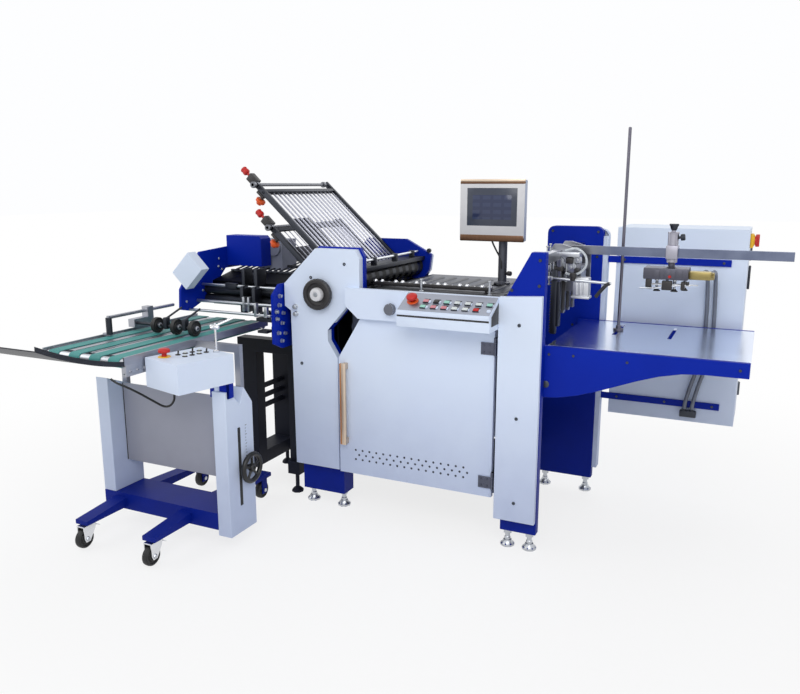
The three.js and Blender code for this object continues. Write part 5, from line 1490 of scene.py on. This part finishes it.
yellow_plastic = moulded("yellow_moulded_plastic", shade(232, 176, 24), shade(244, 196, 44), 0.34)
new_piece(
    "isolator_plate", yellow_plastic, "red_plastic",
    block((1177.2, switch_y - 27, switch_z - 29), (1190, switch_y + 27, switch_z + 27), 3),
    turned((1189, switch_y, switch_z), rightward, switch_ring, 32),
)
new_piece(
    "power_switch_dressed", red_plastic, "red_plastic",
    turned((1188, switch_y, switch_z), rightward, switch_boss, 32),
    block((1196, switch_y - 6, switch_z - 25), (1211, switch_y + 6, switch_z + 25), 3),
    body="main_switch", stands_for="power_switch",
)

# The cross fold unit turns the sheet once more. Two blue plates hold its rollers, a hood covers the
# drive, a cast gearbox drives it, and a slanted white box at its far side takes the wiring.
for node in ("cross_plate_left", "cross_plate_right", "cross_hood"):
    softened(node, blue_paint, 2.0)
softened("cross_box", white_paint, 3.0)
cast_grey = moulded("grey_painted_casting", shade(138, 143, 160), shade(162, 167, 184), 0.5, 0.0016, 0.35)
softened("cross_gearbox", cast_grey, 4.0)
gearbox_face = (-815, 59.4, 1045)
gearbox_curve = [
    (0, 0), (42, 0), (42, 3), (40, 5), (30, 5), (28, 7), (16, 7), (15, 5), (0, 5),
]
new_piece(
    "gearbox_cover", cast_grey, "grey_part",
    turned(gearbox_face, backward, gearbox_curve, 36),
    *(screw(spot, backward, 4, 3) for spot in around(6, 35, -815, 64, 1045)),
)
cross_roller_curve = [
    (0, 0), (9, 0), (9, 13.4), (20, 13.4), (21, 14.6), (21, 429.4), (20, 430.6), (9, 430.6),
    (9, 443.6), (0, 443.6),
]
cross_rollers = [
    ("cross_roller_1", 911, "cross_roller_upper"),
    ("cross_roller_2", 868, "cross_roller_lower"),
]
for roller_name, roller_z, roller_body in cross_rollers:
    new_piece(
        roller_name + "_dressed", dark_steel, "steel",
        turned((-1003, -300, roller_z), rightward, cross_roller_curve, 36),
        body=roller_body, stands_for=roller_name,
    )

# Between its plates lie the parts that slow and square the sheet: plated shafts with clamped holders,
# guide sheets, and a short fold plate with dark slats. Fittings and screws sit on the blue plates.
leftward = (-1, 0, 0)
cross_shaft_start = -990
cross_shafts = [(-332, 934, 6), (-370, 867, 7), (-424, 834, 6)]
new_piece(
    "cross_shafts", zinc, "steel",
    *(turned((cross_shaft_start, y, z), rightward, rod(radius, 419, 1), 20) for y, z, radius in cross_shafts),
    *blocks(
        1.5, ((-648, -432, 826), (-636, -416, 884)), ((-600, -432, 826), (-584, -416, 870)),
        ((-742, -384, 836), (-730, -356, 898)), ((-716, -384, 836), (-706, -356, 898)),
    ),
)
# The guide sheets take the same near-black finish: painted shade for the dark between the cross unit's
# plates.
bent_sheet = [(-989, -262, 940), (-573, -262, 940), (-573, -132, 968), (-989, -132, 968)]
new_piece(
    "cross_guide_sheets", painted_shade_black, "black_metal",
    block((-989, -262, 838), (-573, -258, 942), 0.8),
    plate(bent_sheet, (0, 0, 3), 0.8),
    *(block((-576, y, 900), (-563, y + 22, 1004), 1.5) for y in (-128, 92)),
)
new_piece(
    "cross_holders", dark_steel, "black_metal",
    *blocks(
        2, ((-860, -342, 922), (-800, -322, 946)), ((-800, -226, 936), (-760, -176, 980)),
        ((-780, -330, 920), (-764, -270, 1010)), ((-716, -330, 850), (-700, -262, 1010)),
        ((-760, -372, 824), (-744, -318, 940)), ((-700, -372, 826), (-684, -318, 940)),
    ),
)
cross_slat_count = 14
cross_slats = []
for slat in range(cross_slat_count):
    left = -980 + slat * 30
    right = left + 11
    corners = [(left, -130, 970), (right, -130, 970), (right, 110, 1010), (left, 110, 1010)]
    cross_slats.append(plate(corners, (0, 0, 5), 1))
cross_bars = [(-130, 974), (-20, 992), (96, 1011)]
new_piece(
    "cross_fold_plate", dark_steel, "black_metal", *cross_slats,
    *(block((-988, y, z - 8), (-562, y + 14, z + 6), 1.5) for y, z in cross_bars),
)
fitting_places = [
    (-377, 912), (-384, 875), (-404, 850), (-356, 839), (-402, 820), (-366, 798), (-394, 760),
    (-346, 752), (-372, 724),
]
fitting_curve = [(0, 0), (9, 0), (9, 4), (7, 5), (7, 13), (5, 14), (0, 14)]
fitting_nut = [(0, 0), (9, 0), (9, 8), (0, 9)]
fittings = []
for y, z in fitting_places:
    fittings.append(turned((-559.2, y, z), rightward, fitting_curve, 18))
    fittings.append(turned((-571, y, z), leftward, fitting_nut, 6))
new_piece("cross_side_fittings", zinc, "chrome", *fittings)
new_piece(
    "cross_side_brackets", dark_steel, "black_metal",
    *blocks(
        2, ((-668, -392, 800), (-590, -330, 816)), ((-660, -396, 752), (-612, -352, 764)),
        ((-640, -404, 830), (-600, -340, 842)),
    ),
)
plate_screws = []
for y, z in [(-440, 870), (-330, 905), (-215, 1000), (-210, 1035), (-190, 985)]:
    plate_screws.append(screw((-1003.4, y, z), leftward, 6, 3))
    plate_screws.append(screw((-990.6, y, z), rightward, 6, 3))
new_piece("cross_plate_screws", zinc, "chrome", *plate_screws)

# The cross unit's stand is welded from black coated tube. It has legs, tie tubes and a base on
# levelling feet.
black_tube = paint("black_stand_coat", shade(26, 28, 32), shade(40, 42, 48), 0.42)
softened("cross_stand", black_tube, 2.0)

# The delivery trolley rolls up to the cross fold unit. Its base is welded from blue tube and plate, two
# white columns hold the lifting masts, and a grey panel braces them; black strips at its sides are painted
# shadow in the gaps beside it. The right column's slot holds a black strip, and has a height scale beside it.
softened("trolley_base", blue_paint, 2.5)
softened("column_left", white_paint, 2.5)
softened("column_right", white_paint, 2.5)
panel_grey = paint("grey_panel_coat", shade(176, 178, 192), shade(190, 192, 205), 0.4, 0.08)
softened("modesty_panel", panel_grey, 1.0)
# Black strips at the panel's sides are painted shadow in the gaps beside it.
new_piece(
    "panel_gap_shadows", band_rubber, "rubber",
    *(block((x, -782.4, 262), (x + 1.8, -773, 585), 0.5) for x in (-1047, -542.6)),
    body="trolley",
)
new_piece(
    "lift_slot_strip", band_rubber, "rubber",
    block((-487.4, -791.6, 168), (-479.8, -776.4, 474), 1), body="trolley",
)
scale_marks = []
for mark in range(13):
    mark_long = 9 if mark % 3 == 0 else 5
    mark_low = 330 + mark * 12
    scale_marks.append(block((-480.2, -748, mark_low), (-479.2, -748 + mark_long, mark_low + 2), 0.2))
new_piece("lift_scale_marks", screw_steel, "black_metal", *scale_marks, body="trolley")

# Each caster wheel has a black tread, and a plated nut on both ends of its axle bolt. The front pair has
# chromed forks that swivel, with brake pedals; the rear pair is fixed to the trolley's base.
caster_tread = moulded("black_caster_tread", shade(12, 12, 13), shade(24, 24, 26), 0.45, 0.0008, 0.12)
caster_left = -1025
caster_right = -694
caster_front = -1052
caster_rear = -364
axle_level = 38
caster_curve = [
    (0, -19), (6.6, -19), (6.6, -13), (20, -12), (22, -9), (27, -9), (29, -12.4), (33, -12.8),
    (37, -9), (38, -4), (38, 4), (37, 9), (33, 12.8), (29, 12.4), (27, 9), (22, 9), (20, 12),
    (6.6, 13), (6.6, 19), (0, 19),
]
axle_nut = [(0, 18.6), (8.4, 18.6), (9, 19.4), (9, 22.6), (8, 24), (0, 24)]
casters = [
    (caster_left, caster_front, "wheel_front_left"), (caster_right, caster_front, "wheel_front_right"),
    (caster_left, caster_rear, "wheel_rear_left"), (caster_right, caster_rear, "wheel_rear_right"),
]
for number, (x, y, wheel_body) in enumerate(casters, 1):
    axle_middle = (x, y, axle_level)
    wheel_name = "caster_wheel_%d" % number
    new_piece(
        wheel_name + "_dressed", caster_tread, "rubber",
        turned(axle_middle, rightward, caster_curve, 40), body=wheel_body, stands_for=wheel_name,
    )
    new_piece(
        wheel_name + "_bolts", zinc, "chrome",
        turned(axle_middle, leftward, axle_nut, 6), turned(axle_middle, rightward, axle_nut, 6),
        body=wheel_body,
    )

fork_outline = [(-1068, 90), (-1008, 90), (-1012, 70), (-1040, 26), (-1060, 25), (-1067, 40)]
swivel_curve = [(0, 0), (17, 0), (17, 1.8), (9, 2), (9, 18), (0, 18)]
for side_name, x in (("left", caster_left), ("right", caster_right)):
    cheeks = []
    for side in (-1, 1):
        outline = [(x + side * 14.2, y, z) for y, z in fork_outline]
        cheeks.append(plate(outline, (side * 4.6, 0, 0), 1.2))
    new_piece(
        "caster_fork_%s_dressed" % side_name, chrome, "chrome", *cheeks,
        block((x - 18.8, -1068, 85.4), (x + 18.8, -1008, 90), 1.2),
        turned((x, -1026, 88), upward, swivel_curve, 28),
        body="fork_" + side_name, stands_for="caster_fork_" + side_name,
    )
    pedal = [(x - 13, -1004, 76), (x + 13, -1004, 76), (x + 13, -985, 66), (x - 13, -985, 66)]
    new_piece(
        "brake_pedal_" + side_name, chrome, "chrome",
        plate(pedal, (0, 1.6, 3), 1),
        block((x - 11, -1012, 70), (x + 11, -1002, 79), 1.5),
        body="fork_" + side_name,
    )

# The lifting handwheel is moulded in gloss black phenolic. It has a round rim, five spokes and a hub
# keyed to its shaft.
lift_y = -743
lift_z = 309
rim_x = -457.7
rim_reach = 52
spoke_count = 5
spoke_curve = [(0, 0), (6.4, 6), (4.6, 30), (5.6, 50), (0, 52)]
lift_hub_curve = [
    (0, 0), (8.8, 0), (8.8, 10), (15, 14), (16, 16), (16, 28), (14, 31), (6, 31.6), (5, 29), (0, 29),
]


def lift_rim(shape):
    """A round ring: a small circle swept about the wheel's middle."""
    start = Matrix.Translation(at(rim_x, lift_y, lift_z + rim_reach))
    start = start @ Matrix.Rotation(pi / 2, 4, "Y") @ Matrix.Rotation(pi / 2, 4, "X")
    ring = bmesh.ops.create_circle(shape, segments=18, radius=0.0095, matrix=start)["verts"]
    edges = list({edge for vert in ring for edge in vert.link_edges})
    bmesh.ops.spin(
        shape, geom=ring + edges, cent=at(rim_x, lift_y, lift_z), axis=rightward, angle=2 * pi,
        steps=56, use_merge=True,
    )


spokes = []
for spoke in range(spoke_count):
    angle = 2 * pi * spoke / spoke_count
    outward = (0, -sin(angle), cos(angle))
    spokes.append(turned((rim_x, lift_y, lift_z), outward, spoke_curve, 14))
gloss_black = moulded("gloss_black_phenolic", shade(10, 10, 11), shade(20, 20, 22), 0.24, 0.002, 0.03)
new_piece(
    "lift_handwheel_dressed", gloss_black, "black_metal", lift_rim, *spokes,
    turned((-479.7, lift_y, lift_z), rightward, lift_hub_curve, 28),
    body="lift_wheel", stands_for="lift_handwheel", crease=40,
)

# The delivery conveyor carries folded sheets away on four green belts, which run over a dark slider bed
# and round two plated drums. Its side plates are folded steel sheet, with a screwed cheek at the front.
bed_dark = metal("dark_slider_bed", shade(34, 38, 48), shade(64, 70, 84), 0.3, (1, 0.06, 1))
plate_light = metal("folded_side_plate", shade(150, 152, 160), shade(188, 190, 198), 0.3, (1, 0.06, 1))
softened("conveyor_bed", plate_light, 1.0)
bed_left = -1083
bed_right = -707
bed_front = -1056
bed_rear = -311
groove_count = 9
groove_lefts = [-1064 + groove * 42 for groove in range(groove_count)]
new_piece(
    "slider_bed", bed_dark, "steel",
    block((bed_left, bed_front, 770), (bed_right, bed_rear, 776.6), 0.8),
    *(block((x, bed_front, 776), (x + 3, bed_rear, 777.4), 0.4) for x in groove_lefts),
    body="conveyor",
)
new_piece(
    "conveyor_cheek", plate_light, "grey_part",
    block((-705.5, -1101, 716), (-700.4, -985, 762), 1),
    block((-730, -1088, 716), (-704, -1000, 721), 1),
    *(screw((-700.6, y, 732), rightward, 6, 3) for y in (-1080, -1046, -1012)),
    body="conveyor",
)


def belt_finish():
    """Green drive belt: a fine diagonal fabric print under a cloudy surface."""
    finish = Finish("green_delivery_belt")
    twill = finish.math("SINE", (finish.part("X") + finish.part("Y")) * 2600)
    cloud = finish.grain(0.05, 3.0)
    finish.set(Base_Color=finish.mix(cloud, shade(32, 124, 122), shade(84, 164, 160)))
    finish.set(Roughness=0.5 + cloud * 0.15)
    finish.bump(twill * 0.3 + finish.grain(0.0012), 0.18, 0.0004)
    return finish


belt_middles = (-1040, -938, -840, -752)
belt_front = -1087
belt_back = -280
belt_level = 762
belt_outer = 18
belt_wide = 50
belt_thick = 2.4
bend_steps = 14
drum_curve = [
    (0, 0), (8, 0), (8, 3), (14.6, 4), (15.2, 5), (15.2, 372), (14.6, 373.4), (8, 374), (8, 377.4),
    (0, 377.4),
]


def belt_bands(shape):
    """Bands round both drums: closed outlines, drawn out to the belts' width and then thickened."""
    steps = range(bend_steps + 1)
    bends = [(belt_front, pi / 2 + pi * step / bend_steps) for step in steps]
    bends += [(belt_back, pi * step / bend_steps - pi / 2) for step in steps]
    for middle in belt_middles:
        line = []
        for y, angle in bends:
            z = belt_level + belt_outer * sin(angle)
            place = at(middle - belt_wide / 2, y + belt_outer * cos(angle), z)
            line.append(shape.verts.new(place))
        band = [shape.edges.new(pair) for pair in zip(line, line[1:] + line[:1])]
        made = bmesh.ops.extrude_edge_only(shape, edges=band)["geom"]
        far = [item for item in made if isinstance(item, bmesh.types.BMVert)]
        bmesh.ops.translate(shape, verts=far, vec=(belt_wide / 1000, 0, 0))
    bmesh.ops.recalc_face_normals(shape, faces=shape.faces)
    bmesh.ops.solidify(shape, geom=list(shape.faces), thickness=belt_thick / 1000)


new_piece(
    "delivery_belts", belt_finish(), "belt", belt_bands, body="conveyor", stands_for="belt_set", crease=40,
)
new_piece(
    "belt_drums", zinc, "steel",
    *(turned((-1083.7, y, belt_level), rightward, drum_curve, 32) for y in (belt_front, belt_back)),
    body="conveyor",
)

# Three press wheels hold the sheets down on the belts. They have rubber tyres on turned hubs, and run on
# a blackened steel axle. Two clamped arms hold the axle, and a cap closes the post beside it.
press_y = -680
press_z = 812
press_xs = (-938, -840, -752)
tyre_half = [(12, -8), (18, -8), (20, -6), (24, -6), (26, -9), (30, -9), (31, -7.6)]
tyre_curve = tyre_half + [(radius, -reach) for radius, reach in reversed(tyre_half)] + [(12, -8)]
axle_curve = [(0, 0), (5.6, 0), (6, 1), (6, 313), (5, 315), (0, 315)]
press_hub = [(0, -12), (11, -12), (12.4, -10), (12.4, 10), (11, 12), (0, 12)]
hub_cap = [(0, 0), (10, 0), (10, 3), (7, 5), (0, 5)]
mast_cap = [(10.2, 0), (12, 0), (12, 66), (0, 66), (0, 65), (10.2, 65), (10.2, 0)]
new_piece(
    "press_wheels_dressed", caster_tread, "rubber",
    *(turned((x, press_y, press_z), rightward, tyre_curve, 40) for x in press_xs),
    body="press", stands_for="press_wheels",
)
new_piece(
    "press_axle", dark_steel, "black_metal",
    turned((-1049, press_y, press_z), rightward, axle_curve, 20),
    *(turned((x, press_y, press_z), rightward, press_hub, 24) for x in press_xs),
    body="press",
)
new_piece(
    "press_hub_caps", zinc, "steel",
    *(turned((x + 12.2, press_y, press_z), rightward, hub_cap, 24) for x in press_xs),
    body="press",
)
arms = []
for x in (-890, -796):
    clamp_low = (x - 9, press_y - 12, press_z - 12)
    arms.append(block(clamp_low, (x + 9, press_y + 12, press_z + 34), 2.5))
    arms.append(turned((x, press_y, press_z + 30), (0, 0.9, 0.3), rod(4, 96), 14))
new_piece(
    "press_arms", dark_steel, "black_metal", *arms, turned((-1060, -814, 786.4), upward, mast_cap, 24),
    body="conveyor",
)

# The catch tray is dark steel sheet at the conveyor's end, which takes the finished sheets. Its solid
# is right as it is, and only gets rounded edges here.
tray_dark = metal("dark_tray_sheet", shade(44, 46, 50), shade(76, 78, 84), 0.34, (0.06, 1, 1))
softened("catch_tray", tray_dark, 0.8)

# The delivery control box is a bent white case on its stem, with a blue painted holder. It has a red
# mushroom stop on a yellow collar, and small toggles and lamps in black rings on its lid.
softened("delivery_box", white_paint, 1.0)
box_x = -572
box_y = -926
box_top = 770
box_middle = at(box_x, box_y, 0)
box_turn = Matrix.Translation(box_middle) @ Matrix.Rotation(radians(-15), 4, "Z")
box_turn = box_turn @ Matrix.Translation(-box_middle)


def on_box(across, along):
    """A place on the lid of the turned box, in millimetres in the machine's frame."""
    spot = box_turn @ at(box_x + across, box_y + along, box_top) - machine_origin
    return tuple(value * 1000 for value in spot)


button_ring = [(0, 0), (9.4, 0), (9.8, 1.6), (8, 3), (6, 3.4), (0, 3.4)]
lamp_curve = [(0, 3), (5.4, 3), (5.4, 6), (3, 7.6), (0, 8)]
toggle_curve = [(0, 3), (2.4, 3), (3.2, 14), (2, 16), (0, 16.4)]
switches = []
lamps = []
for row in range(2):
    for column in range(4):
        place = on_box(-40 + row * 42, -20 + column * 30)
        switches.append(turned(place, upward, button_ring, 20))
        if (row + column) % 2:
            lamps.append(turned(place, upward, lamp_curve, 16))
        else:
            switches.append(turned(place, (0.18, 0, 1), toggle_curve, 12))
new_piece("delivery_box_switches", black_plastic, "black_metal", *switches, body="trolley")
new_piece("delivery_box_lamps", cap_white, "red_plastic", *lamps, body="trolley")
delivery_stop_foot = on_box(-48, -70)
delivery_collar = [(11, 0), (22, 0), (22.4, 1.6), (21, 3), (11, 3.2), (11, 0)]
new_piece(
    "delivery_stop_collar", yellow_plastic, "red_plastic",
    turned(delivery_stop_foot, upward, delivery_collar, 32), body="trolley",
)
new_piece(
    "delivery_stop_dressed", red_plastic, "red_plastic",
    turned(delivery_stop_foot, upward, stop_curve, 36),
    body="delivery_stop", stands_for="delivery_stop",
)
new_piece(
    "delivery_box_holder", blue_paint, "blue_frame",
    block((-556, -846, 600), (-474, -838, 663), 2),
    block((-482, -846, 600), (-474, -812, 740), 2),
    body="trolley",
)

# A chromed sensor post stands on the box: a stepped rod with a slanting holder and a small sensor. The
# box's cable has a black jacket and hangs in a shallow loop under the conveyor.
sensor_x, sensor_y, sensor_z = on_box(26, 96)
sensor_post = [(0, 0), (12, 0), (12, 6), (6, 8), (4.2, 10), (4.2, 104), (3.4, 106), (0, 106)]
sensor_holder = [(0, -18), (4, -18), (4, 70), (0, 70)]
sensor_curve = [(0, -14), (7, -14), (8, -12), (8, 16), (7, 18), (0, 18)]
new_piece(
    "delivery_sensor_post", chrome, "chrome",
    turned((sensor_x, sensor_y, sensor_z), upward, sensor_post, 24),
    turned((sensor_x, sensor_y, 866), (0.9, 0.9, 0.5), sensor_holder, 16),
    turned((sensor_x, sensor_y, 862), (-1, -0.3, 0.1), sensor_curve, 16),
    body="trolley",
)
box_cable = [
    (-1046, -838, 612), (-1000, -856, 606), (-948, -862, 598), (-880, -866, 582), (-815, -868, 562),
    (-762, -868, 546), (-728, -870, 552), (-700, -878, 576), (-684, -890, 606), (-676, -900, 628),
]
new_piece(
    "delivery_box_cable", cable_black, "black_metal", tube(smooth_route(box_cable, 5), 4.2, 12),
    body="trolley", crease=40,
)

low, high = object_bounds()
